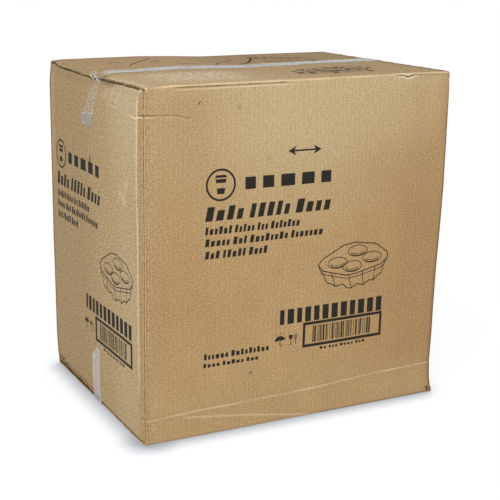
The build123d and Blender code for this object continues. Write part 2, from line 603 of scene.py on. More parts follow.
# %% Waves up and down
def waved(x, y, z):
    """The top's waves and drooping ends, the pressed tape and the gap over the bottom flaps."""
    back_lift = np.interp(x, [-270, -190, -110, -50, 10, 100, 270], [0, 1.2, 1.9, 0.4, -2, -0.9, 0])
    seam_lift = np.interp(x, [-270, -216, -126, -90, -47, -10, 40, 90, 144, 198, 270],
                          [0.5, 1.4, 2.2, 1.8, 0.6, -0.8, 1.0, 2.0, 2.6, 2.8, 2.6])
    front_lift = np.interp(x, [-270, -245, -225, -150, -20, 120, 230, 270],
                           [0, 0.2, 1.4, 1.8, 2.8, 4.2, 5.6, 5.2])
    edge_lift = np.where(y > 0, back_lift, front_lift)
    from_seam = np.clip(np.abs(y) / back, 0, 1)
    up = ramp(z, 470, 551) * (seam_lift + (edge_lift - seam_lift) * from_seam)
    droop = np.interp(y, [-204, -170, -127, -78, -38, 0, 45, 84, 116, 143, 165, 185, 200],
                      [0.2, 0.4, 1.3, 2.9, 3.8, 6.0, 5.2, 4.9, 4.5, 4.8, 4.2, 1.5, 0])
    up -= droop * ramp(z, 530, 551) * hill(x, left, 20)
    up += 0.4 * (1 - ramp(z, 6, 40)) * (1 - ramp(np.abs(y), 25, 29))
    gap = (1.5 + 1.5 * hill(y, 75, 60)) * ramp(y, -16, 10) * (0.8 + 0.4 * np.sin(y / 7.0) * np.sin(y / 17.0))
    up += gap * span(z, 4.05, 4.35, 20, 60) * (1 - ramp(x, left + 15, left + 80))
    return np.stack([0 * x, 0 * y, up], axis=1)


seam_end = waved(np.array([left]), np.array([0.0]), np.array([top]))
print("at the tape the cut ends lie", round(float(-seam_end[0, 2]), 1), "mm down")

# %% [markdown]
# ## Pressing the creases
# Bent board swells a little beside each pressed line, so a crease is a groove with a low ridge
# just under it. The last function adds all the wear up, and every piece that lies on the carton
# is moved by it.


# %% Move points by the wear
def pressed_in(x, y, z):
    """All creases: inward from the front and from the left side."""
    deep = lip_share(x) * (1.9 * hill(z, lip_height, 1.0) - 0.4 * hill(z, lip_height - 3.2, 1.6))
    deep += 2.4 * nick_share(x) * hill(z, nick_height(x), 1.2)
    for line, groove, spread, below, ridge, ridge_spread, fade in (
        (high_crease, 0.5, 1.2, 2.4, 0.2, 1.8, 16),
        (long_crease, 0.6, 2.8, 4.5, 0.5, 3.2, 30),
        (low_crease, 0.5, 2.8, 4.0, 0.35, 3.0, 24),
    ):
        deep += crease(x, z, line, groove, spread, fade)
        deep -= crease(x, z + below, line, ridge, ridge_spread, fade)
    side_deep = crease(y, z, side_crease, 0.4, 1.4, 12) - crease(y, z + 2.8, side_crease, 0.3, 1.6, 12)
    side_deep += crease(y, z, toe_crease, 1.2, 2.6, 24) + crease(y, z, short_crease, 0.35, 1.4, 10)
    for line in pulled:
        side_deep += crease(y, z, line, 0.55, 5.5, 14)
    signed, length, whole = beside_line(y, z, corner_crease)
    across_joint = 0.8 * hill(signed, 3.6, 2.4) - 1.3 * hill(signed, -0.4, 1.6)
    side_deep += span(length, 0, 20, whole - 60, whole) * across_joint
    to_right = hill(x, left, panel_reach) * side_deep
    to_back = hill(y, front, panel_reach) * deep
    return np.stack([to_right, to_back, 0 * z], axis=1)


def worn(points):
    """Where points of the new carton end up on this used one."""
    x, y, z = points.T
    return points + bulged(x, y, z) + bowed(x, y, z) + waved(x, y, z) + pressed_in(x, y, z)


shift = worn(outer) - outer
print("wear moves points by up to", round(float(np.abs(shift).max()), 1), "mm")

# %% [markdown]
# ## Crushed ends
# At the left something hit the rear flap's cut end and squashed it to half its thickness.
# Moving the surface alone would bend the board and leave it 4 mm thick. So the thickness is a
# number on each point, and crushing takes the same amount off it and off the surface.

# %% Crush the top flaps' rear cut ends
thickness = np.full(len(outer), board)
x, y, z = outer.T
crushed = 1.9 * hill(x, left, 6) * ramp(y, -12, 8) * (z > top - 1)
outer -= crushed[:, None] * facing
thickness -= crushed
print("crushed to", round(float(thickness.min()), 1), "mm")

# %% [markdown]
# ## Finding the cuts
# Where the knife went, the sheet's grid simply ends. Such an edge belongs to one cell only, and
# every other edge is walked twice, once each way. That finds all the cuts of any sheet, and the
# cross product of a cut edge with the outward direction points back into the board.

# %% Find the cut edges
edges = {(start, end) for quad in quads.tolist() for start, end in zip(quad, quad[1:] + quad[:1])}
cuts = [(start, end) for quad in quads.tolist() for start, end in zip(quad, quad[1:] + quad[:1])
        if (end, start) not in edges]
inwards = np.zeros_like(outer)
shortest = np.full(len(outer), 9.0)
for start, end in cuts:
    step = outer[end] - outer[start]
    size = np.linalg.norm(step)
    for point in (start, end):
        inwards[point] += np.cross(facing[point], step / size)
        shortest[point] = min(shortest[point], size)
lengths = np.linalg.norm(inwards, axis=1)
inwards[lengths > 0] /= lengths[lengths > 0, None]
print("cut edges", len(cuts))

# %% [markdown]
# ## Frayed edges
# A cut through corrugated board is ragged: the liners fray, and tips of paper lift. Noise in
# the material would leave the outline straight, so the points themselves are moved, from one
# seeded random source that gives the same edge each time. Where cells are small the moves are
# small too, so that no two points cross. The glued joint was cut clean and frays least.

# %% Fray the cut edges
chance = np.random.default_rng(7)
cut_points = sorted({point for edge in cuts for point in edge})
cut_number = {point: number for number, point in enumerate(cut_points)}
picked = np.array(cut_points)
cut_x, cut_y, cut_z = outer[picked].T
room = shortest[picked]
on_left_end = cut_x < left + 2
on_joint = (cut_y < front + 1.5) & (cut_x < left + 1.5)
ragged = chance.uniform(0.5, 1.0, len(picked))[:, None]
deepest = np.where(on_joint, 0.5, np.where(cut_x < left + 1.5, 2.4, 1.6))
depth = np.minimum(deepest, 0.6 * room)[:, None] * ragged
loose = np.minimum(1, room / 4.5)[:, None]
frayed = chance.uniform(0, 1.4, (len(picked), 1)) * loose
tips = chance.uniform(0, 1, (len(picked), 1)) > 0.72
rough = np.where(on_joint, 0.2, np.where(on_left_end, 1.0, 0.35))[:, None]
lifted = (chance.normal(0, 0.3, (len(picked), 1)) + 1.1 * tips) * loose * rough
faces_down = facing[picked][:, 2:] < -0.3
lifted = np.where(faces_down, np.minimum(lifted, 0), lifted)  # nothing reaches into the floor
print("frayed by up to", round(float(frayed.max()), 1), "mm")

# %% [markdown]
# ## Both liners and the groove
# The inner liner is the outer surface moved in by one board. Along every cut the two liners
# stand out and the fluted sheet between them is torn back, which makes the dark, ragged line
# that tells corrugated board from plain card. The flutes themselves would take millions of
# faces, so each cut edge gets six narrow faces that step in and out round the fluted sheet.

# %% Build the groove and both liners
outer_count = len(outer)
under = [liner, 1.2, 2.0, 2.8, board - liner]  # how far each level lies under the outer surface
levels = len(under)
reach = [frayed, frayed + depth, 0.8 * frayed + 0.3 * depth, 0.7 * frayed + depth, 0.6 * frayed]
squash = (thickness[picked] / board)[:, None]
ladder = [outer[picked] - down * squash * facing[picked] + into * inwards[picked]
          for down, into in zip(under, reach)]
torn = outer.copy()
torn[picked] += frayed * inwards[picked] + lifted * facing[picked]
inner = outer - thickness[:, None] * facing
inner[picked] += 0.6 * frayed * inwards[picked]
all_points = np.concatenate([torn, inner] + ladder)
step_apart = 0.8  # millimetres on the map from one level of the groove to the next
all_sheet = np.concatenate([flat_sheet, flat_sheet]
                           + [flat_sheet[picked] + step_apart * (level + 1) for level in range(levels)])


def rung(point, level):
    """The number of a cut point's copy at one level of the groove, from the outer liner to the inner."""
    if level == 0:
        return point
    if level == levels + 1:
        return outer_count + point
    return 2 * outer_count + (level - 1) * len(picked) + cut_number[point]


faces = quads.tolist() + (quads[:, ::-1] + outer_count).tolist()
skin_faces = len(faces)
for start, end in cuts:
    for level in range(levels + 1):
        faces.append([rung(end, level), rung(start, level), rung(start, level + 1), rung(end, level + 1)])
print("faces", len(faces), "of which cut edges", len(faces) - skin_faces)

# %% [markdown]
# ## Shade in the groove
# The groove is deep and narrow, finer than the render's pixels, and holds more shade and dirt
# than its few faces catch. So each level gets a share of dark of its own: full just behind the
# outer liner and at the inner one, and none on the fluted sheet between them. The dark behind
# the outer liner is broken into dashes, since flutes were crushed here and there. Where the
# ends were pressed shut, and at the joint, other shares hold.

# %% Shade the groove
in_groove = np.zeros(len(all_points))
never_zero = 0.001  # added in the groove, because 0 means that a point lies on a liner
pressed = np.where(on_left_end, ramp(cut_y, -14, 4), 0)
dashes = (chance.uniform(0, 1, len(picked)) > 0.35) | (np.abs(cut_y + 50) < 14)
weaker = np.where((cut_z < 10) & (cut_y < -14), 0.55, 1.0)
weaker = weaker * (1 - 0.7 * hill(cut_y, front + 9, 5) * on_left_end)
for level, (open_share, pressed_share, joint_share) in enumerate((
    (0.0, 0.0, 0.35),
    (1.0, 0.0, 0.46),
    (0.0, 0.1, 0.46),
    (0.0, 0.6, 0.15),
    (1.0, 1.0, 0.0),
)):
    shades = (open_share + (pressed_share - open_share) * pressed) * np.where(dashes | (level > 2), 1.0, 0.25)
    first = 2 * outer_count + level * len(picked)
    in_groove[first:first + len(picked)] = np.where(on_joint, joint_share, shades * weaker) + never_zero
print("dashes on", int(dashes.sum()), "of", len(picked), "cut points")

# %% [markdown]
# ## The board's mesh
# All points are moved by the wear and become one mesh with two materials: pressed kraft liner
# and raw cut edge. One mesh keeps the folds whole, as they are in the real sheet. A map called
# `sheet` holds each point's place on the flat blank, in metres.


# %% Make the board's mesh
def place_mesh(name, mesh, materials):
    """An object for a mesh, with its materials."""
    piece = bpy.data.objects.new(name, mesh)
    bpy.context.scene.collection.objects.link(piece)
    for material in materials:
        mesh.materials.append(material)
    return piece


def make_piece(name, points, faces, materials):
    """A mesh object from points in millimetres."""
    mesh = bpy.data.meshes.new(name)
    mesh.from_pydata((np.asarray(points) * MM).tolist(), [], faces)
    return place_mesh(name, mesh, materials)


def store_map(mesh, title, flat):
    """A map that gives every point of a mesh a flat place in metres."""
    flat_map = mesh.uv_layers.new(name=title)
    corner_points = np.zeros(len(mesh.loops), np.int32)
    mesh.loops.foreach_get("vertex_index", corner_points)
    flat_map.data.foreach_set("uv", flat[corner_points].astype(np.float32).ravel())


kraft, kraft_tree = new_material("kraft_linerboard")
raw_edge, raw_tree = new_material("raw_corrugated_edge")
carton = make_piece("carton_board", worn(all_points), faces, [kraft, raw_edge])
mesh = carton.data
on_skin = np.arange(len(faces)) < skin_faces
mesh.polygons.foreach_set("use_smooth", on_skin)
mesh.polygons.foreach_set("material_index", np.where(on_skin, 0, 1).astype(np.int32))
store_map(mesh, "sheet", all_sheet * MM)
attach(carton, "root")
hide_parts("carton")
print("carton_board", len(mesh.polygons), "faces")

# %% [markdown]
# ## Marks on the creases
# The geometry makes the creases, but their own shading is weak under soft light, so light and shade are
# painted into the colour as well: a ridge goes pale, where the liner stretches and where a painted highlight
# falls, and a groove is darkened with painted shade. Painting them on an image would need an image, so
# numbers on the points hold them, worked out from the same lines as the creases, and the material below reads
# the numbers. The first two are `pale` and `dark`.

# %% Pale ridges
x, y, z = all_points.T
mark_reach = 12.0  # a mark goes this far round a fold, where it has faded to a third
on_front = hill(y, front, mark_reach)
on_back = hill(y, back, mark_reach)
on_left = hill(x, left, mark_reach)
on_top = hill(z, top, 3.0)
unevenly = 0.75 + 0.35 * np.sin(x / 17) * np.sin(x / 43 + 1)
# pale lines under the creases: stretched liner, and a painted highlight on the ridge
pale = on_front * unevenly * crease(x, z + 2.2, long_crease, 0.5, 1.15, 30)
pale += on_front * crease(x, z + 2.0, low_crease, 0.5, 1.15, 24)
pale += on_front * crease(x, z + 2.2, high_crease, 0.22, 1.2, 16)
pale += on_front * lip_share(x) * 0.55 * hill(z, lip_height - 3.2, 1.0)
beside_slit = hill(z, nick_height(x) + 1.8, 0.9) + hill(z, nick_height(x) - 2.0, 1.2)
pale += on_front * 1.1 * nick_share(x) * beside_slit
from_corner_line, down_corner_line, corner_line = beside_line(y, z, corner_crease)
# painted highlight along the ridge beside the joint
pale += (on_left * 0.9 * hill(from_corner_line, -0.8, 1.3)
         * span(down_corner_line, 0, 14, corner_line - 100, corner_line))
pale += on_left * crease(y, z + 2.6, side_crease, 0.6, 1.4, 20)
pale += on_left * crease(y, z + 2.2, short_crease, 0.3, 1.3, 10)
for line in pulled:
    pale += on_left * crease(y + 6, z, line, 0.22, 4.0, 14)
for chip_y, chip_z, share, size in (
    (-143, 403, 0.5, 4),
    (-135, 378, 0.5, 5),
    (-122, 388, 0.4, 4),
    (-196, 551, 1.0, 3),
):
    pale += on_left * share * hill(np.hypot(y - chip_y, (z - chip_z) * 0.6), 0, size)
for place, size in (
    ((left + 5.0, front, 553.5), 1.8),
    ((left + 1.0, -190, 554.5), 3.0),
    ((left, -193, 551), 2.0),
):
    pale += 1.2 * ball(x, y, z, place, size)
print("pale on", int((pale > 0.3).sum()), "points")

# %% [markdown]
# ## Painted shade and dirt in the grooves
# Dark lines show where light can't reach, and where dirt has gathered: in the creases, the slit, the gap over
# the bottom flaps, the slots at the corners and beside the crushed cut ends. Rendered shade alone leaves most
# of them too pale, because they are finer than a cell of the mesh, so the shade is painted into the colour.

# %% Dark grooves
dark = on_front * crease(x, z - 0.3, high_crease, 0.6, 0.9, 16)
dark += on_front * crease(x, z - 1.0, long_crease, 0.12, 1.2, 30)
dark += on_front * lip_share(x) * 1.1 * hill(z, lip_height + 0.2, 0.9)
dark += on_front * 1.5 * nick_share(x) * hill(z, nick_height(x), 1.1)
dark += on_front * 0.5 * span(x, 200, 212, 250, 262) * hill(z, top - 4.4, 1.0)
dark += on_left * crease(y, z - 0.4, side_crease, 0.35, 1.0, 20)
dark += on_left * crease(y, z, short_crease, 0.3, 1.0, 10)
dark += on_left * 0.25 * hill(from_corner_line, 3.4, 1.6) * ramp(down_corner_line, 0, 14)

# Painted shade in the gap over the bottom flaps, with a ragged upper side
notch = 2.0 * np.sin(y / 4.3) * np.sin(y / 11.0)
dark += on_left * 1.6 * span(z, 3.4, 3.9, 6.2 + notch, 8.0 + notch) * ramp(y, -18, -2)
dark += on_left * 0.75 * crease(y, z, [(206, 18), (170, 11), (128, 7)], 1.0, 1.5, 8)

# Painted shade under and beside the cut ends on the left of the top
behind_front = ramp(y, front + 9, front + 15)
broken = 0.7 + 0.6 * np.sin(y / 5.3) * np.sin(y / 13.7 + 1.0)
broken -= 0.45 * ramp(y, 140, 175) * (1 - hill(y, 204, 8))
dark += on_left * behind_front * span(z, 550.0, 550.9, 551.7, 552) * 1.4 * broken
dark += on_left * 0.55 * hill(y, -72, 26) * span(z, 543, 549, 551.7, 552)
dark += on_left * 0.12 * behind_front * hill(z, 543, 8)
dark += on_top * 2.2 * hill(y, -36, 9) * hill(x, left + 5.5, 3.0)

# Painted shade in the foot's slot, and on the folds that are seen edge on
dark += on_front * 1.5 * hill(x, right - 9.4, 2.5) * span(z, 2, 4, 12, 14.5)
dark += on_front * 0.25 * hill(x, right - 6.5, 2.0) * span(z, 12, 20, 200, 360)
dark += 0.7 * hill(np.hypot(y - back, z - top), 3.3, 1.5)
dark += 0.6 * hill(np.hypot(x - right, y - front), 2.3, 1.3) * (1 - 0.7 * ramp(z, 470, 530))
dark += on_top * 0.8 * hill(x, right - 1.0, 2.2)
print("dark on", int((dark > 0.3).sum()), "points")

# %% [markdown]
# ## Marks of the cut edges
# The groove keeps the shade worked out for it, the inner liner behind the left cut ends is painted in full
# shade, and a ball of painted shade stands for a small hole at the nearest top corner. Torn paper shows its
# pale inside, so the tips along the cuts are pale. These marks follow the points of the cuts, not a place in
# space, and so they are written straight into the two lists.

# %% Mark the cut edges
dark = np.where(in_groove > 0, in_groove, dark)
dark[outer_count + picked[on_left_end & ~on_joint]] = 1.0
# painted shade for the small hole at the nearest top corner
dark = np.maximum(dark, 1.4 * ball(x, y, z, (left + 0.5, front, 552.8), 2.8))
pale[2 * outer_count:] = np.tile(np.where(on_joint, 0.0, np.where(on_left_end, 1.0, 0.3)), levels)
pale[picked] += np.where(on_joint, 0, np.where(on_left_end, 0.6 * tips[:, 0] + 0.25, 0.2))
print("pale tips", int(tips.sum()))

# %% [markdown]
# ## Rubbed, scuffed and faded
# Folds are rubbed bare where they slide past other boxes, most of all the front's top fold, whose pale line
# is also a painted highlight. The top is scuffed in one patch, and wide patches are a greyer, paler brown:
# most of all the left side and the upper front, and on the upper front, the top and the bottom of the front
# the paler colour is a painted sheen and painted light. More painted light makes the left side paler towards
# its front edge and its top, and makes the upper front and the front of the top paler. Such marks depend on
# where the board was, not on its mesh, so each is a hill or a ramp of the place on the new carton.

# %% Rubbed, scuffed, greyer and painted light
fold_middle = 0.41 * fold  # how far a rounded fold's middle lies inside its sharp corner
front_fold = np.hypot(y - front, z - top) - fold_middle
# rubbed folds: wear, and on the front's top fold a painted highlight
rubbed_and_highlight = hill(front_fold, 0, 0.85) * (0.7 + 0.2 * np.sin(x / 13)) * (0.3 + 0.7 * ramp(x, -262, -225))
rubbed_and_highlight += 0.3 * hill(np.hypot(x - left, y - back), 0, 3)
rubbed_and_highlight += 0.45 * on_top * hill(x, left + 3.5, 3.0) * ramp(-y, 50, 70)
scuffed = on_top * span(x, -240, -190, -100, -50) * span(y, -190, -140, -85, -45)
# greyer, paler patches: on the upper front, the top and the bottom of the front a painted sheen and painted
# light; greyer on the left side and the back
greyer_and_sheen = on_front * (ramp(z, 260, 500) * (0.55 + 0.45 * hill(x, -10, 150)) + 0.15 * (1 - ramp(z, 60, 140)))
greyer_and_sheen += 0.35 * on_front * ramp(z, 525, 545) + 0.3 * on_back
greyer_and_sheen += on_left * (0.7 + 0.3 * ramp(-y, 20, 140) - 0.6 * hill(y, front + 8, 5) + 0.15 * hill(y, 186, 3))
greyer_and_sheen += on_top * (0.3 + 0.1 * ramp(-y, 0, 60) * (1 - ramp(x, -60, 120))
                   + 0.2 * ramp(y, 0, 40) * (1 - ramp(x, -200, -80)))
# painted light: the left side paler towards its front edge and its top, and the front of the top and the
# upper front paler; a pale line also runs near the left side's back fold
front_half = span(-y, 20, 150, 184, 192)
pale += on_left * (0.13 + 0.15 * ramp(z, 250, 480)) * front_half * (1 - 0.5 * hill(z, 380, 90))
pale += on_left * 0.3 * hill(y, back - 18, 6) * ramp(z, 300, 420)
pale += on_top * 0.18 * ramp(-y, 20, 80) * (1 - ramp(x, -100, 60))
pale += on_front * 0.11 * ramp(z, 300, 500) * span(x, -230, -110, 170, 250)
print("faded on", int((greyer_and_sheen > 0.5).sum()), "points")

# %% [markdown]
# ## Browned and shaded
# Other parts are browner or darker, partly in their own colour and partly with painted shade: the lower right
# of the front, the rear of the left side and of the top, and the folds. The far edges get a brown outline of
# painted shade, and so do the front's foot and the gap over the bottom flaps on the left. These shades change
# over a hand's width, so they are wide ramps.

# %% Browned and painted shade
other_folds = np.minimum.reduce([np.hypot(y - back, z - top), np.hypot(x - right, np.abs(y) - back),
                                 np.hypot(x - left, y - back)]) - fold_middle
foot = 1 - ramp(z, 60, 300)
# browner patches, partly their own colour and partly painted shade: the rear of the left side and the top,
# the folds, the right edge
browned_and_shade = on_front * 0.55 * (1 - ramp(x, -220, -40)) * ramp(z, 40, 220)
browned_and_shade += on_front * 0.95 * ramp(x, 20, 220) * span(z, 20, 100, 400, 530)
browned_and_shade += on_front * ((0.9 + 0.5 * foot) * hill(x, left + 6, 3.5) + 0.4 * ramp(x, 244, 262))
browned_and_shade += on_left * (0.35 * ramp(y, -90, 60) * (1 - 0.3 * ramp(z, 380, 200)) + 0.4 * hill(y, -196, 6))
browned_and_shade += on_top * (0.9 * ramp(y, -6, 8) + 0.55 * ramp(-y, -8, 6) * ramp(x, 0, 230))
browned_and_shade += 0.35 * hill(x, right, mark_reach) + 0.3 * on_back + 0.9 * hill(other_folds, 0, 2.2)
# painted shade: a brown outline on the far edges, at the front's foot and over the bottom flaps' gap
far_edge = np.maximum.reduce([
    on_top * ramp(y, back - 19, back - 12),
    on_top * ramp(x, right - 18, right - 10),
    on_front * ramp(x, right - 6.5, right - 4) * (1 - 0.75 * ramp(z, 470, 530)),
    on_left * ramp(y, back - 14, back - 9),
])
painted_edge_shade = 0.8 * far_edge + on_left * 0.8 * ramp(y, 0, 20) * hill(z, 12.5, 3.0)
painted_edge_shade += on_front * 0.55 * (1 - ramp(z, 2, 5)) * ramp(x, 20, 60)
# painted shade on the rear of the top and of the left side; the lower right of the front and its fold at the
# joint a little darker
dark += on_top * 0.25 * ramp(y, 0, 60) * ramp(x, -100, 20) + on_left * 0.16 * ramp(y, -90, 60)
dark += on_front * 0.09 * (ramp(x, 120, 220) * span(z, 20, 100, 330, 450) + hill(x, left + 6, 3.5) * foot)
# painted shade in three short creases at the toe of the left side
for line in (
    [(192, 31), (182, 22), (172, 17)],
    [(186, 19), (171, 17), (160, 22)],
    [(176, 12), (160, 11), (147, 15)],
):
    dark += on_left * crease(y, z, line, 1.0, 1.3, 5)
print("browned on", int((browned_and_shade > 0.5).sum()), "points")

# %% [markdown]
# ## Storing the marks
# Nine numbers on every point now say how the paper looks there. The last two say how much the
# pulp has clotted to flocs, which show most on the left side and the top. They are stored
# under their names, and kept between 0 and 1.


# %% Store the marks
def store(mesh, title, values):
    """One number on every point of a mesh, for a material to read."""
    mark = mesh.attributes.new(title, "FLOAT", "POINT")
    mark.data.foreach_set("value", values.astype(np.float32))


marks = {
    "pale": pale,
    "dark": dark,
    "rubbed_and_highlight": rubbed_and_highlight,
    "scuffed": scuffed,
    "greyer_and_sheen": greyer_and_sheen,
    "browned_and_shade": browned_and_shade,
    "painted_edge_shade": painted_edge_shade,
    "fibrous": 0.45 + 0.55 * on_left - 0.2 * on_front,
    "matted": 0.85 * on_top,
}
for name, values in marks.items():
    store(mesh, name, np.clip(values, 0, 1))
print("stored", len(marks), "marks")

# %% [markdown]
# ## Patterns on the sheet
# Paper is uneven at every size, and a photo of some paper would bring its own light and a
# pattern that repeats. Noise does neither. Each pattern here is given the width and height of
# one of its patches on the flat blank in millimetres, and since it is laid out on the `sheet`
# map it runs on round the folds, as it does on the real blank.


# %% Patterns on the sheet
def map_in_mm(tree, title):
    """The place on a flat map, in millimetres."""
    place = add(tree, "ShaderNodeUVMap", {"uv_map": title}).outputs[0]
    return add(tree, "ShaderNodeVectorMath", {"operation": "SCALE"}, i0=place, Scale=1000.0).outputs[0]


def pattern(tree, place, wide, tall, detail, roughness):
    """Uneven patches of one size, as a value about a half: a noise over the place divided by that size."""
    shrunk = add(tree, "ShaderNodeVectorMath", {"operation": "DIVIDE"}, i0=place, i1=(wide, tall, 1.0))
    noise = add(tree, "ShaderNodeTexNoise", {"noise_dimensions": "2D"}, Vector=shrunk.outputs[0],
                Scale=1.0, Detail=detail, Roughness=roughness)
    return noise.outputs[0]


def marked(tree, under, mark, low, most, colour):
    """A colour laid over another where the points carry a mark."""
    amount = add(tree, "ShaderNodeAttribute", {"attribute_name": mark})
    return layer(tree, under, amount.outputs["Fac"], low, 1.0, most, colour)


def broken_mark(tree, mark, patches, low, high, least, most):
    """A mark that is weakened and strengthened by a pattern."""
    amount = add(tree, "ShaderNodeAttribute", {"attribute_name": mark}).outputs["Fac"]
    share = add(tree, "ShaderNodeMapRange", Value=patches, From_Min=low, From_Max=high,
                To_Min=least, To_Max=most).outputs[0]
    return add(tree, "ShaderNodeMath", {"operation": "MULTIPLY"}, i0=amount, i1=share).outputs[0]


place = map_in_mm(kraft_tree, "sheet")
print("the blank is", [round(float(side)) for side in np.ptp(flat_sheet, axis=0)], "mm")

# %% [markdown]
# ## Kraft linerboard
# The board's skin is unbleached kraft paper. Pulped wood is poured on a moving wire and pressed
# between rollers, which lines the fibres up, and the sheet is then glued to the flutes. The eye
# gets a matt brown with clouds where the pulp lay thicker, streaks along the fibres, and a
# faint washboard from the flutes. The colours are laid on in that order, each over the last.

# %% Kraft base colour
tree = kraft_tree
clouds = pattern(tree, place, 60.0, 80.0, 4.0, 0.6)  # pulp pours out in clouds as wide as a hand
body = layer(tree, linear("#ab8b5c"), clouds, 0.3, 0.7, 1.0, "#b79666")
# greyer patches with painted sheen, and browner patches with painted shade
for mark, colour, most in (("greyer_and_sheen", "#c0ae88", 0.8), ("browned_and_shade", "#926737", 0.52)):
    body = marked(tree, body, mark, 0.0, most, colour)
# Fibres are 0.03 mm wide and 2 mm long, too fine to show, so they are drawn 2.2 mm by 12 mm
streaks = pattern(tree, place, 2.2, 12.0, 4.0, 0.6)
body = layer(tree, body, streaks, 0.4, 0.66, 0.40, "#9f7f50")
print("base colour", len(tree.nodes), "nodes")

# %% [markdown]
# ## Flocs, grain and flutes
# Under a lamp the skin is not even: pulp clots to pale and dark flocs of 3 to 9 mm, and knots and specks of
# bark stand out as grain. Both go from a colour lighter than the paper to one darker than it, about the
# pattern's middle. The flutes are 7.8 mm apart and print through as a washboard, whose shade is painted on as
# bands as well as bumped in.

# %% Flocs, grain and flutes
FLUTE = 7.8  # millimetres from one flute to the next, C flute
for mark, wide, tall in (("fibrous", 6.0, 3.0), ("matted", 3.4, 9.0)):
    flocs = pattern(tree, place, wide, tall, 3.0, 0.7)
    amount = add(tree, "ShaderNodeAttribute", {"attribute_name": mark})
    most = add(tree, "ShaderNodeMapRange", Value=amount.outputs["Fac"], To_Max=0.8).outputs[0]
    body = layer(tree, body, flocs, 0.5, 0.66, most, "#cfb48a")
    body = layer(tree, body, flocs, 0.5, 0.34, most, "#866840")
# Specks are a third of a millimetre wide, too fine to show, so they are drawn about 1.8 mm wide
grain = pattern(tree, place, 1.9, 1.7, 3.0, 0.7)
body = layer(tree, body, grain, 0.5, 0.7, 0.68, "#d6bd93")
body = layer(tree, body, grain, 0.5, 0.3, 0.68, "#7d6038")
one_wave = 2 * math.pi / 20  # the length of a wave of this texture at scale 1
flutes = add(tree, "ShaderNodeTexWave", {"wave_type": "BANDS", "bands_direction": "X"}, Vector=place,
             Scale=one_wave / FLUTE, Distortion=0.5, Detail=1.0)
# painted shade of the flutes' washboard, in bands
body = layer(tree, body, flutes.outputs[0], 0.0, 1.0, 0.12, "#8f6f44")
print("one flute every", FLUTE, "mm")

# %% [markdown]
# ## Wear and painted light on the kraft
# The painted edge shade, the pale marks of stretched fibre, torn tips and painted highlights, and the rubbed
# folds with their painted highlight come next, and painted shade and dirt over them, broken up along its
# lines as crushed flutes break it. Five small marks follow, four stains on the front and a scratch on the
# left panel. The mesh is too coarse to hold them, so each is the distance on the blank from its own place.
# The scuffs lie on top of everything.

# %% Wear and painted light on the kraft
# painted edge shade, pale marks with painted highlights, and rubbed folds with a painted highlight
for mark, colour in (("painted_edge_shade", "#7f4d18"), ("pale", "#ecdcba"), ("rubbed_and_highlight", "#f0d2a6")):
    body = marked(tree, body, mark, 0.05, 0.85, colour)
clots = pattern(tree, place, 7.0, 5.0, 2.0, 0.5)  # about as wide as one flute
# painted shade and dirt from the `dark` mark
painted_shade_and_dirt = broken_mark(tree, "dark", clots, 0.40, 0.54, 0.78, 1.1)
body = layer(tree, body, painted_shade_and_dirt, 0.05, 1.0, 0.88, "#33260f")
front_middle = run_starts[FRONT] - starts[FRONT][0]  # the length on the blank where x is 0
left_middle = run_starts[LEFT] + starts[LEFT][1]  # and where y is 0
for along, up, wide, tall, strength in (
    (front_middle - 87.0, 94.2, 4.6, 4.6, 0.42),
    (front_middle - 169.9, 103.8, 3.0, 3.0, 0.28),
    (front_middle - 115.5, 519.4, 4.5, 4.5, 0.30),
    (front_middle - 63.8, 441.6, 5.0, 6.0, 0.19),
    (left_middle - 9.5, 414.0, 3.8, 12.0, 0.80),
):
    spot = (float(along) / wide, up / tall, 0.0)
    here = add(tree, "ShaderNodeVectorMath", {"operation": "DIVIDE"}, i0=place, i1=(wide, tall, 1.0))
    away = add(tree, "ShaderNodeVectorMath", {"operation": "DISTANCE"}, i0=here.outputs[0], i1=spot)
    body = layer(tree, body, away.outputs["Value"], 0.4, 1.0, 0.0, "#33260f", least=strength)
strokes = pattern(tree, place, 10.0, 4.4, 6.0, 0.8)  # a scuff is a stroke about a centimetre long
scuffs = broken_mark(tree, "scuffed", strokes, 0.49, 0.60, 0.0, 1.0)
body = layer(tree, body, scuffs, 0.0, 1.0, 1.0, "#ead8bc")
print("wear", len(tree.nodes), "nodes")

# %% [markdown]
# ## The surface of the kraft
# Paper scatters light and hardly mirrors it, so it is rough, with a weak highlight. The flutes
# print through by a tenth of a millimetre, and the grain is lower still. A bump tilts the
# light on them, where true relief would need millions of faces.

# %% Surface of the kraft
relief = add(tree, "ShaderNodeMath", {"operation": "MULTIPLY_ADD"}, i0=flutes.outputs[0], i1=1.6, i2=grain)
grain_height = 0.00006  # metres; the flutes are 1.6 times as high
bump = add(tree, "ShaderNodeBump", Strength=0.8, Distance=grain_height, Height=relief.outputs[0])
skin = add(tree, "ShaderNodeBsdfPrincipled", Base_Color=body, Roughness=0.78, IOR=1.5,
           Specular_IOR_Level=0.22, Normal=bump.outputs[0])
add(tree, "ShaderNodeOutputMaterial", Surface=skin.outputs[0])
print("kraft material", len(tree.nodes), "nodes")

# %% [markdown]
# ## Raw edge
# A slotting blade tears corrugated board as much as it cuts, and leaves raw fibre: darker and rougher than
# the pressed skin, with painted shade and dirt in the groove, and loose pale tufts of 4 to 6 mm. It could
# share the kraft, but a cut has neither streaks nor flutes, so it gets a material of its own with hairs,
# painted shade and dirt, and tufts.

# %% Raw edge material
tree = raw_tree
place = map_in_mm(tree, "sheet")
# Single hairs are too fine to show, so they are drawn as clumps of 1.4 mm
hairs = pattern(tree, place, 1.4, 1.4, 4.0, 0.7)
body = layer(tree, linear("#a5865a"), hairs, 0.35, 0.65, 1.0, "#d2be94")
clots = pattern(tree, place, 7.0, 5.0, 2.0, 0.5)
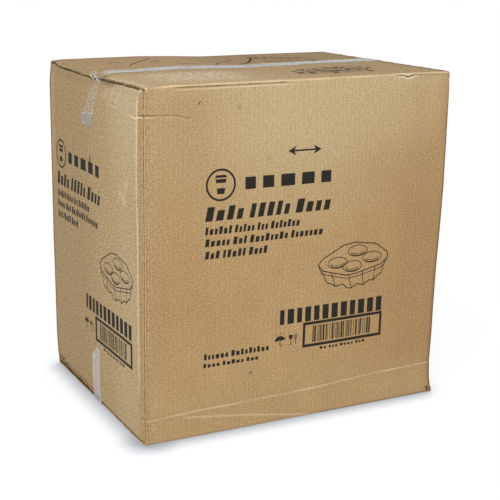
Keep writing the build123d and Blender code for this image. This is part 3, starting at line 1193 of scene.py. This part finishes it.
# painted shade and dirt from the `dark` mark: red-brown where weak, near black where strong
painted_shade_and_dirt = broken_mark(tree, "dark", clots, 0.40, 0.54, 0.78, 1.1)
for low_shade_and_dirt, high_shade_and_dirt, colour in ((0.15, 0.6, "#8f5a2a"), (0.36, 0.74, "#1f1606")):
    body = layer(tree, body, painted_shade_and_dirt, low_shade_and_dirt, high_shade_and_dirt, 1.0, colour)
tufts = broken_mark(tree, "pale", pattern(tree, place, 4.0, 6.0, 2.0, 0.6), 0.53, 0.60, 0.0, 0.8)
body = layer(tree, body, tufts, 0.0, 1.0, 1.0, "#d8c79a")
fibre_height = 0.0004  # metres that torn fibre stands up by
bump = add(tree, "ShaderNodeBump", Strength=1.0, Distance=fibre_height, Height=hairs)
skin = add(tree, "ShaderNodeBsdfPrincipled", Base_Color=body, Roughness=0.9, IOR=1.5,
           Specular_IOR_Level=0.2, Normal=bump.outputs[0])
add(tree, "ShaderNodeOutputMaterial", Surface=skin.outputs[0])
print("raw edge material", len(tree.nodes), "nodes")

# %% [markdown]
# ## Flexographic print
# The carton is printed in one black with rubber plates, which lay ink on the board as a thin
# film. An image on the board would be sharp only close up, and needs a file. So each shape is
# a flat outline, and a few functions draw all of them: a filled patch, a line of even width,
# points round an oval, an upright rectangle, and a line of text as plain blocks.

# %% Flat shapes
shapes = []


def patch(points):
    """One filled outline."""
    shapes.append(([tuple(point) for point in points], [list(range(len(points)))]))


def band(points, width, closed=False):
    """A line of even width along points."""
    points = np.array(points, float)
    if closed:
        before, after = np.roll(points, 1, axis=0), np.roll(points, -1, axis=0)
    else:
        before = np.vstack([2 * points[0] - points[1], points[:-1]])
        after = np.vstack([points[1:], 2 * points[-1] - points[-2]])
    first = (points - before) / np.linalg.norm(points - before, axis=1)[:, None]
    second = (after - points) / np.linalg.norm(after - points, axis=1)[:, None]
    across = first + second
    across = np.stack([-across[:, 1], across[:, 0]], axis=1)
    across /= np.linalg.norm(across, axis=1)[:, None]
    spread = 1 / np.maximum(0.5, np.sum(across * np.stack([-first[:, 1], first[:, 0]], axis=1), axis=1))
    offset = across * spread[:, None] * width / 2
    count = len(points)
    both = np.vstack([points + offset, points - offset])
    last = count if closed else count - 1
    faces = [[at, at + count, (at + 1) % count + count, (at + 1) % count] for at in range(last)]
    shapes.append(([tuple(point) for point in both], faces))


def oval(middle, half_width, half_height, start=0, end=360, steps=40):
    """Points round an oval, in degrees from the right."""
    angles = np.radians(np.linspace(start, end, steps + 1))
    points = [(middle[0] + half_width * math.cos(a), middle[1] + half_height * math.sin(a)) for a in angles]
    return points[:-1] if end - start == 360 else points


def bar(left_end, right_end, bottom, height):
    """An upright rectangle."""
    peak = bottom + height
    patch([(left_end, bottom), (right_end, bottom), (right_end, peak), (left_end, peak)])


def text_blocks(start, end, bottom, height, lean, words, seed, even=False):
    """A line of text as plain blocks: the number of blocks in each word, fitted between two ends."""
    chance = np.random.default_rng(seed)
    widths = [list(chance.uniform(0.36, 0.56, count)) for count in words]
    gap, space = 0.26, 0.55
    whole = sum(sum(word) + gap * (len(word) - 1) for word in widths) + space * (len(words) - 1)
    unit = (end - start) / whole
    place = start
    for word in widths:
        for number, wide in enumerate(word):
            tall = height * (1.0 if even or number == 0 else float(chance.choice([0.74, 0.74, 0.74, 1.0])))
            patch([(place, bottom), (place + wide * unit, bottom),
                   (place + wide * unit + lean * tall, bottom + tall), (place + lean * tall, bottom + tall)])
            place += (wide + gap) * unit
        place += (space - gap) * unit


print("a ring of", len(oval((0, 0), 25, 25)), "points")

# %% [markdown]
# ## Signs
# A carton carries signs that any warehouse reads: keep dry, safe with food, and how it lies on
# the pallet. A paper cup in a ring says what is inside. Each sign is drawn about a point, in
# shares of its size, so that it can be used again at any size.


# %% Signs
def cup_emblem(x, z, size):
    """A lidded paper cup inside a ring."""
    half = size / 2
    line = 3.2
    band(oval((x, z), half - line / 2, half - line / 2), line, closed=True)
    for low_half, low_up, high_half, high_up in (
        (0.20, 0.22, 0.17, 0.30),
        (0.16, 0.06, 0.18, 0.18),
        (0.115, -0.28, 0.14, -0.10),
    ):
        patch([(x - low_half * size, z + low_up * size), (x + low_half * size, z + low_up * size),
               (x + high_half * size, z + high_up * size), (x - high_half * size, z + high_up * size)])


def double_arrow(x, z, width, height):
    """An arrow with a head at both ends."""
    half, head, shaft = width / 2, height * 0.95, height * 0.09
    for side in (-1, 1):
        patch([(x + side * half, z), (x + side * (half - head), z + side * height / 2),
               (x + side * (half - head * 0.72), z), (x + side * (half - head), z - side * height / 2)])
    bar(x - half + head * 0.72, x + half - head * 0.72, z - shaft, 2 * shaft)


def umbrella(x, z, size):
    """The common sign for keep dry."""
    canopy = oval((x, z), size * 0.5, size * 0.45, 0, 180, 16)
    for middle in (-0.333, 0.0, 0.333):
        canopy += oval((x + middle * size, z), size * 0.167, size * 0.09, 180, 0, 6)[1:]
    patch(canopy[:-1])
    hook = oval((x + size * 0.09, z - size * 0.34), size * 0.09, size * 0.1, 180, 340, 8)
    band([(x, z + size * 0.02), (x, z - size * 0.32)] + hook, size * 0.07)
    for drop in (-0.3, 0.05, 0.35):
        at = x + drop * size
        band([(at, z + size * 0.68), (at - size * 0.06, z + size * 0.54)], size * 0.05)


def glass_and_fork(x, z, size):
    """The common sign for safe with food."""
    patch(oval((x - size * 0.2, z + size * 0.42), size * 0.2, size * 0.42, 180, 360, 14))
    for start, end, bottom, height in (
        (-0.225, -0.175, -0.38, 0.42),
        (-0.33, -0.07, -0.45, 0.06),
        (0.148, 0.192, 0.12, 0.33),
        (0.248, 0.292, 0.12, 0.33),
        (0.348, 0.392, 0.12, 0.33),
        (0.148, 0.392, 0.06, 0.06),
        (0.24, 0.30, -0.45, 0.51),
    ):
        bar(x + size * start, x + size * end, z + size * bottom, size * height)


def bar_panel(x, z, width, height, upright):
    """Bars of mixed widths in a heavy frame, whose upright sides can be wider."""
    line = 4.8
    for bottom in (z - line / 2, z + height - line / 2):
        bar(x - upright / 2, x + width + upright / 2, bottom, line)
    for side in (x, x + width):
        bar(side - upright / 2, side + upright / 2, z + line / 2, height - line)
    chance = np.random.default_rng(12)
    place = x + width * 0.11
    while place < x + width * 0.87:
        wide = float(chance.choice([1.0, 1.0, 1.9, 2.9]))
        bar(place, place + wide, z + 5.0, height - 10.0)
        place += wide + float(chance.choice([1.3, 1.3, 2.4, 3.2]))


cup_emblem(0, 0, 50)
print("the cup in its ring is made of", len(shapes), "shapes")
shapes.clear()

# %% [markdown]
# ## The drawing of the goods
# A small line drawing shows the goods: a moulded tray with four wells. Traced from a picture
# it would be one fixed outline. As lines in shares of half its width and height it can be
# drawn at any size: the rim, three ovals for each well, the legs and two lower outlines.


# %% Drawing of the goods
def tray_drawing(x, z, width, height, weight=1.0):
    """Line drawing of a moulded carrier with four wells, its lines made heavier by a weight."""
    def draw(points, line, closed=False):
        band([(x + across * width / 2, z + up * height / 2) for across, up in points], line * weight, closed)

    draw([(-1.0, 0.18), (-0.86, 0.44), (-0.30, 0.92), (0.02, 0.99), (0.62, 0.84), (0.96, 0.42), (0.99, 0.20),
          (0.80, -0.08), (0.10, -0.34), (-0.20, -0.38), (-0.86, -0.08)], 1.7, closed=True)
    for across, up in ((-0.46, 0.20), (0.10, 0.62), (0.52, 0.28), (-0.04, -0.02)):
        draw(oval((across, up), 0.27, 0.23, steps=28), 1.3, closed=True)
        draw(oval((across, up - 0.07), 0.19, 0.13, 190, 350, 14), 1.1)
        draw(oval((across, up + 0.02), 0.20, 0.15, 200, 340, 12), 1.0)
    for leg in (
        [(-0.90, -0.08), (-0.74, -0.62)],
        [(-0.62, -0.22), (-0.50, -0.80)],
        [(-0.14, -0.40), (-0.04, -0.96)],
        [(0.26, -0.30), (0.30, -0.90)],
        [(0.62, -0.16), (0.60, -0.74)],
        [(0.90, 0.04), (0.82, -0.48)],
    ):
        draw(leg, 1.3)
    draw([(-0.74, -0.62), (-0.62, -0.66), (-0.50, -0.80), (-0.30, -0.74), (-0.16, -0.94), (-0.04, -0.96),
          (0.14, -0.80), (0.30, -0.90), (0.46, -0.72), (0.60, -0.74), (0.74, -0.52), (0.82, -0.48)], 1.7)
    draw([(-0.97, 0.10), (-0.90, -0.20), (-0.20, -0.52), (0.12, -0.48), (0.82, -0.22), (0.98, 0.12)], 1.2)


tray_drawing(0, 0, 135, 79)
print("the tray is made of", len(shapes), "lines")
shapes.clear()

# %% [markdown]
# ## The printed panel
# One plate prints the long panels and the ends alike, so one function draws it. On the end of
# the photograph it sits a little lower and further left, with its text narrower, which are the
# function's inputs. Each line of words is a row of plain blocks of the same height and length.


# %% Printed panel
def label(x, upper, lower, wide, lower_x, upright):
    """The panel's print: how far it and its lower half are moved, and how wide its text runs."""
    cup_emblem(x + 125 + 0.5 * lower_x, upper + 405, 50)
    text_blocks(x + 166, x + 166 + 153 * wide, upper + 395, 19, 0.0, [5], 3, even=True)
    text_start = x + 99 + 100 * (1 - wide)
    for reach, bottom, height, lean, words, seed in (
        (218, 350, 22, 0.21, [4, 5, 4], 5),
        (164, 329, 12, 0.15, [6, 5, 3, 7], 8),
        (207, 310.5, 12, 0.15, [5, 3, 8, 7], 13),
        (106, 291, 12, 0.15, [3, 5, 4], 21),
    ):
        text_blocks(text_start, text_start + reach * wide, upper + bottom, height, lean, words, seed)
    x += lower_x
    tray_drawing(x + 368, lower + 251.5 + 0.2 * lower_x, 135, 79)
    text_blocks(x + 233, x + 427, lower + 167, 25, 0.0, [12], 34, even=True)
    bar_panel(x + 278, lower + 125 - 0.25 * lower_x, 148.5, 38, upright)
    text_blocks(x + 309, x + 396, lower + 115.5 - 0.25 * lower_x, 4.6, 0.0, [2, 3, 4, 3], 55)
    umbrella(x + 234.2, lower + 140, 19)
    glass_and_fork(x + 257.5, lower + 140, 19)


label(0, 0, 0, 1.0, 0, 4.4)
print("the panel is made of", len(shapes), "shapes")
shapes.clear()

# %% [markdown]
# ## Laying the print on the board
# A shape has only two lengths. Its place on a panel turns them into a point of the new carton,
# and `worn` then carries the point along with the board. Each shape is first cut on a 12 mm
# grid, so that it can follow the bows and creases. The ink is closed: its upper side is a tenth
# of a millimetre above the liner and its lower side a little below.

# %% Lay print on a panel
ink_black, ink_tree = new_material("flexographic_ink")
INK_ABOVE, INK_BELOW = 0.10, 0.05
GRID = 12


def cut_on_grid(work):
    """Straight cuts across all faces of a flat mesh, both ways."""
    for axis, direction in enumerate(((1, 0, 0), (0, 1, 0))):
        values = [corner.co[axis] for corner in work.verts]
        cut = math.ceil(min(values) / GRID) * GRID
        while cut < max(values):
            everything = work.verts[:] + work.edges[:] + work.faces[:]
            place = [cut * part for part in direction]
            bmesh.ops.bisect_plane(work, geom=everything, plane_co=place, plane_no=direction)
            cut += GRID


def lay_print(name, to_panel):
    """All shapes drawn since the last call, as one closed mesh on a panel."""
    work = bmesh.new()
    for points, faces in shapes:
        corners = [work.verts.new((point[0], point[1], 0)) for point in points]
        for face in faces:
            work.faces.new([corners[number] for number in face])
    shapes.clear()
    bmesh.ops.triangulate(work, faces=[face for face in work.faces if len(face.verts) > 4])
    cut_on_grid(work)
    for face in work.faces:
        face.normal_update()
        if face.normal.z < 0:
            face.normal_flip()
    raised = bmesh.ops.extrude_face_region(work, geom=work.faces[:])
    upper = {item for item in raised["geom"] if isinstance(item, bmesh.types.BMVert)}
    work.verts.index_update()
    flat = np.array([(corner.co.x, corner.co.y) for corner in work.verts])
    lift = np.array([INK_ABOVE if corner in upper else -INK_BELOW for corner in work.verts])
    placed = worn(to_panel(flat[:, 0], flat[:, 1], lift)) * MM
    for corner, point in zip(work.verts, placed):
        corner.co = point
    bmesh.ops.recalc_face_normals(work, faces=work.faces[:])
    mesh = bpy.data.meshes.new(name)
    work.to_mesh(mesh)
    work.free()
    piece = place_mesh(name, mesh, [ink_black])
    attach(piece, "root")
    print(name, len(mesh.polygons), "faces")


print("ink", round(INK_ABOVE + INK_BELOW, 2), "mm thick")

# %% [markdown]
# ## Print on the front
# The front carries the panel's print, a double arrow and two lines of small text. A stray
# mark of ink near its upper left corner is two short strokes. All are placed in millimetres
# from the panel's left edge and the base, as they would be measured with a ruler.


# %% Front print
def front_place(first, second, lift):
    """A point on the front panel, from its left edge and the base."""
    return np.stack([left + first, np.full_like(first, front) - lift, second], axis=1)


double_arrow(269.7, 449, 59.5, 15)
label(0, 0, 0, 1.0, 0, 4.4)
text_blocks(99.7, 214, 127.6, 9.7, 0.0, [6, 9], 60)
text_blocks(99, 195, 114.6, 7, 0.0, [4, 5, 3], 61)
band([(87.0, 526.4), (89.2, 529.0)], 1.5)
band([(89.4, 528.6), (91.4, 530.6)], 1.2)
lay_print("front_print", front_place)

# %% [markdown]
# ## Print on the left side
# The end is narrower than the long panel, so the same print runs nearly from edge to edge. It
# could be drawn a second time. The same function with other inputs keeps the two alike, as
# one printing plate does.


# %% Left print
def left_place(first, second, lift):
    """A point on the left panel, from its back edge and the base."""
    return np.stack([np.full_like(first, left) - lift, back - first, second], axis=1)


label(-71, -3, -8, 0.92, 8, 7.0)
lay_print("left_print", left_place)

# %% [markdown]
# ## Marks on the top
# Black strokes run over both top flaps: the drawing of the goods, lying aslant, smudged blots
# over it, and loose bent lines. Each line is given by its width and the places that it
# passes, in millimetres from the left and the back edge.


# %% Top print
def top_place(first, second, lift):
    """A point on the top flaps, from the left edge and the back edge."""
    return np.stack([left + first, back - second, np.full_like(first, top) + lift], axis=1)


top_lean = 0.35  # the drawing leans to the right by this share of its height
tray_drawing(372, 0, 150, 84, 1.7)
shapes[:] = [([(point[0] + top_lean * point[1], 316 - point[1]) for point in points], faces)
             for points, faces in shapes]
for blot in range(9):
    around = (300 + 15 * blot + 6 * math.sin(blot * 2.4), 318 + 34 * math.sin(blot * 1.7 + 0.6))
    patch(oval(around, 4.0 + blot % 3, 8.0 + 2 * (blot % 2), steps=10))
for points, width in (
    ([(88, 140), (104, 116), (124, 91), (163, 43)], 3.0),
    ([(62, 108), (74, 90), (84, 88), (88, 108)], 2.0),
    ([(139, 116), (150, 98), (163, 87)], 2.4),
    ([(234, 162), (252, 132), (271, 113), (301, 91)], 2.6),
    ([(282, 165), (302, 148), (320, 122), (338, 90), (348, 69)], 5.0),
    ([(173, 138), (190, 141), (210, 140)], 2.4),
    ([(431, 132), (430, 152), (428, 180)], 4.0),
    ([(334, 152), (360, 166), (400, 180)], 3.6),
):
    band(points, width)
for step in range(7):
    band(oval((348 + 13 * step, 92 + 7 * step), 7 + step % 3, 34, 190, 350, 8), 2.6)
    band([(344 + 13 * step, 128 + 6 * step), (352 + 13 * step, 142 + 6 * step)], 3.4)
lay_print("top_print", top_place)

# %% [markdown]
# ## Ink
# Flexographic ink is a thin, matt, water-based black that sinks into the liner. Pressed on by a
# rubber plate, it misses the low spots of the paper and wears off its high ones, so the eye
# gets a soft black with brown showing through. A noise in millimetres over one black does both.

# %% Ink material
tree = ink_tree
place = add(tree, "ShaderNodeTexCoord").outputs["Object"]
place = add(tree, "ShaderNodeVectorMath", {"operation": "SCALE"}, i0=place, Scale=1000.0).outputs[0]
bare_spot = 1.8  # millimetres; real ones are a few tenths, too fine to show, and are drawn coarser
bare_spots = add(tree, "ShaderNodeTexNoise", Vector=place, Scale=1 / bare_spot, Detail=4.0, Roughness=0.7)
body = layer(tree, linear("#25231f"), bare_spots.outputs[0], 0.56, 0.72, 0.6, "#6e5a3d")
skin = add(tree, "ShaderNodeBsdfPrincipled", Base_Color=body, Roughness=0.7, IOR=1.5, Specular_IOR_Level=0.12)
add(tree, "ShaderNodeOutputMaterial", Surface=skin.outputs[0])
print("ink material", len(tree.nodes), "nodes")

# %% [markdown]
# ## A strip of tape
# Packing tape is clear polypropylene film, 0.05 mm thick, with glue on one side. A machine lays
# it over the seam and presses a tail down each end. Cloth simulation could drape it, but a tape
# that sticks follows the board, so each strip is a grid along its length and across its width,
# bent round the ends, moved by `worn`, lifted where air is trapped, and closed with an
# underside. Two numbers on each point say how milky the film is there and how streaked.

# %% Strip of tape
FILM = 0.12  # millimetres, so that the two sides stay apart in the render
HOVER = 0.18  # the underside clears the board's facets
clear_film, film_tree = new_material("clear_packing_tape")
half_length = (right - left) / 2
turn_radius = 3.0


def round_the_end(along):
    """Along the top and down both ends: x, depth below the top, and the way out."""
    side = np.sign(along)
    past = np.abs(along) - (half_length - turn_radius)
    turn = np.clip(past / turn_radius, 0, math.pi / 2)
    x = side * (np.minimum(np.abs(along), half_length - turn_radius) + turn_radius * np.sin(turn))
    depth = turn_radius * (1 - np.cos(turn)) + np.maximum(past - turn_radius * math.pi / 2, 0)
    out = np.stack([side * np.sin(turn), np.zeros_like(along), np.cos(turn)], axis=1)
    return x, depth, out


def strip_lengths(tail, middle_step):
    """Places along a strip, close together on the shown tail and where it bends over the ends."""
    return stepped(-half_length - tail, 3.5, -half_length - 4, 0.8, -half_length + 4, middle_step,
                   half_length - 4, 0.8, half_length + 4, 6.0, half_length + tail)


def tape_strip(name, place_at, lengths, shares, end_cut, haze, streaked):
    """A closed strip from a grid of lengths and shares of its width."""
    along, across = [grid.ravel() for grid in np.meshgrid(lengths, shares, indexing="ij")]
    first_half = along < 0
    reach = np.where(first_half, along - lengths[0], lengths[-1] - along)
    trimmed = along + np.where(first_half, 1, -1) * end_cut(across, first_half) * (1 - ramp(reach, 0, 40))
    points, out, ripple = place_at(trimmed, across)
    lower = worn(points) + out * (HOVER + ripple)[:, None]
    upper = lower + out * FILM
    number = np.arange(len(along)).reshape(len(lengths), len(shares))
    total = number.size
    faces = []
    for row, after in zip(number[:-1].tolist(), number[1:].tolist()):
        for at in range(len(row) - 1):
            cell = [row[at], after[at], after[at + 1], row[at + 1]]
            faces += [cell, [corner + total for corner in cell[::-1]]]
    ring = np.concatenate([number[:, 0], number[-1, 1:], number[::-1, -1][1:], number[0, ::-1][1:]]).tolist()
    for start, end in zip(ring[:-1], ring[1:]):
        faces.append([end, start, start + total, end + total])
    strip = make_piece(name, np.concatenate([upper, lower]), faces, [clear_film])
    store_map(strip.data, "strip", np.tile(np.stack([along, across * 48.0], axis=1), (2, 1)) * MM)
    store(strip.data, "haze", np.tile(haze(along, across), 2))
    store(strip.data, "streaked", np.tile(streaked(along, across), 2))
    strip.data.polygons.foreach_set("use_smooth", np.ones(len(faces), bool))
    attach(strip, "root")
    print(name, len(faces), "faces")
    return strip


print("the film is", FILM, "mm thick and the seam", round(2 * half_length), "mm long")


# %% [markdown]
# ## Tape over the top
# The top strip was pulled off line. Over the left end it is bunched to 30 mm and leans to the
# back, ends in a doubled, grey patch, and stands clear of the board at the fold. Along the seam
# it is milky, most at both edges. Three lists give its shift and width at places along it.

# %% Top tape
top_tail = 94.0
beyond_end = np.array([-66, -62, -52, -33, -11, 0]) - half_length
tape_at = [-half_length - top_tail, *beyond_end, -258, -245, -216, -177, -126, -84, -40, 0, 90, 144, 198,
           half_length, half_length + top_tail]
tape_shift = [18, 18, 8, 3, -11, -25, -28, -11, -8, -15, -7, 2, 3, 6, 5, 5, 8, 13, 19, 23]
tape_wide = [48, 53, 43, 40, 38, 31, 30, 33, 36, 38, 40, 40, 40, 42, 42, 42, 42, 42, 44, 44]


def over_top(along, across):
    """The top strip: up the left end, over the seam and down the right end."""
    x, depth, out = round_the_end(along)
    y = np.interp(along, tape_at, tape_shift) + across * np.interp(along, tape_at, tape_wide)
    lift = 0.15 + 0.9 * hill(along, -258, 16) + 0.5 * hill(along, -225, 40) + 0.3 * hill(along, 20, 90)
    lift += 1.8 * hill(along, half_length - 3, 4)
    lift *= ramp(np.abs(along), 0, 5) * (1 - 0.8 * ramp(np.abs(along), half_length + 40, half_length + 60))
    ripple = lift * (0.5 + 0.5 * np.sin(across * 21 + along / 41 + 2.2 * np.sin(along / 67)))
    return np.stack([x, y, top - depth], axis=1), out, ripple


def doubled(along, across):
    """Where the tip of the left tail was folded under: a plain grey patch."""
    start = half_length + 66 + 9 * across
    return ramp(-along, start, start + 2)


def top_haze(along, across):
    """Milky over the seam, nearly clear on the left end and grey again in the doubled patch at its tip."""
    on_seam = span(along, -half_length + 10, -half_length + 30, half_length - 10, half_length)
    edges = hill(np.abs(across), 0.5, 0.12)
    lens = 0.5 * hill(across, 0.05, 0.14) * (hill(along, -243, 22) + 0.7 * hill(along, -200, 10))
    return np.clip((0.45 + 0.35 * edges - lens) * on_seam + 0.44 * doubled(along, across) + 0.02, 0, 1)


def top_streaked(along, across):
    """No streaks in the doubled patch, nor where the strip stands clear of the board at the left fold."""
    return 1 - np.maximum(doubled(along, across), 0.85 * hill(along, 6 - half_length, 13))


def top_ends(across, first_half):
    """The film was torn off at a slant."""
    return np.where(first_half, 8 + 2 * across + 1.2 * np.sin(across * 25), 4 + 1.5 * np.sin(across * 31))


shares = np.linspace(-0.5, 0.5, 19)
top_film = tape_strip("top_tape_film", over_top, strip_lengths(top_tail, 6.0), shares,
                      top_ends, top_haze, top_streaked)
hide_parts("top_tape")

# %% [markdown]
# ## Scraps of tape
# At the left end the torn film left a twisted strand and a curl, which stand in the air. A
# curve with a bevel would give round wires. A ribbon is flat, so its four corners are turned
# about the route as it goes, which twists it.


# %% Twisted strands
def strand(name, route, width, turns):
    """A narrow ribbon of film along a route, closed, and twisted a few times."""
    ribbon_half = 0.5  # half its thickness in millimetres, heavier than film so that it shows
    route = np.array(route, float)
    steps = np.linspace(0, len(route) - 1, 25)
    middle = np.stack([np.interp(steps, range(len(route)), route[:, axis]) for axis in range(3)], axis=1)
    forward = np.gradient(middle, axis=0)
    forward /= np.linalg.norm(forward, axis=1)[:, None]
    side = np.cross(forward, (-1.0, 0.0, 0.3))
    side /= np.linalg.norm(side, axis=1)[:, None]
    over = np.cross(side, forward)
    angle = np.linspace(0, turns * 2 * math.pi, len(steps))[:, None]
    wide = (np.cos(angle) * side + np.sin(angle) * over) * width / 2
    deep = (np.cos(angle) * over - np.sin(angle) * side) * ribbon_half
    rings = np.stack([middle + wide + deep, middle - wide + deep,
                      middle - wide - deep, middle + wide - deep], axis=1)
    faces = [[3, 2, 1, 0], [len(steps) * 4 - 4 + corner for corner in range(4)]]
    for first in range(0, len(steps) * 4 - 4, 4):
        for corner in range(4):
            beside = (corner + 1) % 4
            faces.append([first + corner, first + beside, first + 4 + beside, first + 4 + corner])
    piece = make_piece(name, rings.reshape(-1, 3), faces, [clear_film])
    piece.data.uv_layers.new(name="strip")
    store(piece.data, "haze", np.full(len(rings) * 4, 0.75))
    store(piece.data, "streaked", np.ones(len(rings) * 4))
    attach(piece, "root")
    print(name, len(faces), "faces")


strand("tape_strand", [(-272, -8, 554), (-275, -18, 552.5), (-276, -31, 549), (-275, -43, 544)], 3.0, 1.5)
strand("tape_curl", [(-270, -14, 556.5), (-271, -4, 557), (-274, 1, 554), (-275, -2, 549),
                     (-274, -12, 547)], 2.0, 1.0)

# %% [markdown]
# ## Tape under the base
# The bottom strip was put on first and straighter. The carton stands on it, so it is pressed
# into the board by its own thickness. On the left end it is clear, with a bright front edge and
# a torn bright corner that ends in two points.

# %% Bottom tape
bottom_tail = 103.0
sunk = 0.38  # so that the strip's outer side is level with the base


def under_base(along, across):
    """The bottom strip: down the left end, under the seam and up the right end."""
    x, depth, out = round_the_end(along)
    middle = np.interp(along, [-half_length - bottom_tail, -half_length, half_length], [-7, -2, 0])
    y = middle + across * np.interp(along, [-half_length - bottom_tail, -half_length, -240], [35, 38, 43])
    loose_tail = ramp(np.abs(along), half_length + 5, half_length + 30)
    ripple = 0.25 * loose_tail * (0.5 + 0.5 * np.sin(across * 26 + along / 17))
    z = base + depth - sunk * (1 - ramp(depth, 0, 6))
    out[:, 2] = -out[:, 2]
    return np.stack([x, y, z], axis=1), out, ripple


def bottom_haze(along, across):
    """Faintly milky, with a bright front edge and a torn bright corner."""
    edge = hill(across, -0.40, 0.07) * (1 - ramp(-along, half_length + 60, half_length + 74))
    height = -along - half_length
    corner = hill(across, 0.08 + (98 - height) * 0.019, 0.09) * ramp(height, 70, 78)
    return np.clip(0.22 + 0.6 * edge + 0.7 * corner, 0, 1)


def bottom_streaked(along, across):
    """Streaks everywhere."""
    return np.ones_like(along)


def bottom_ends(across, first_half):
    """Torn to two points on the left end, cut on the right."""
    peaks = np.interp(across, [-0.5, -0.4, -0.19, -0.06, 0.0, 0.06, 0.14, 0.3, 0.5],
                      [13, 5, 1.5, 6, 23, 13, 5, 14, 24])
    return np.where(first_half, peaks, 3 + 1.5 * np.sin(across * 29))


bottom_film = tape_strip("bottom_tape_film", under_base, strip_lengths(bottom_tail, 12.0), shares[::-1],
                         bottom_ends, bottom_haze, bottom_streaked)
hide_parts("bottom_tape")

# %% [markdown]
# ## Clear tape
# The film is drawn out of molten polypropylene and coated with clear glue. Where it sticks it
# nearly vanishes and leaves only a gloss. Where air is trapped it goes milky in long streaks
# about 3 mm wide. Glass with its light bent twice would be slow and would darken the board, so
# the milk is a white surface whose share of cover comes from the numbers on the points.

# %% Tape material
tree = film_tree
streaks = pattern(tree, map_in_mm(tree, "strip"), 55.0, 3.2, 3.0, 0.6)
amount = add(tree, "ShaderNodeAttribute", {"attribute_name": "haze"}).outputs["Fac"]
streaky = broken_mark(tree, "streaked", streaks, 0.53, 0.68, 0.0, 0.45)
milk = add(tree, "ShaderNodeMath", {"operation": "ADD", "use_clamp": True}, i0=amount, i1=streaky)
body = layer(tree, linear("#f6e8da"), amount, 0.3, 0.45, 1.0, "#b3b1a6")
# the streaks are also painted a bluish white, a painted highlight over the milk
bright = broken_mark(tree, "streaked", streaks, 0.45, 0.65, 0.0, 1.0)
body = layer(tree, body, bright, 0.0, 1.0, 1.0, "#e4eaec")
skin = add(tree, "ShaderNodeBsdfPrincipled", Base_Color=body, Roughness=0.24, IOR=1.49, Alpha=milk.outputs[0])
add(tree, "ShaderNodeOutputMaterial", Surface=skin.outputs[0])
print("tape material", len(tree.nodes), "nodes")
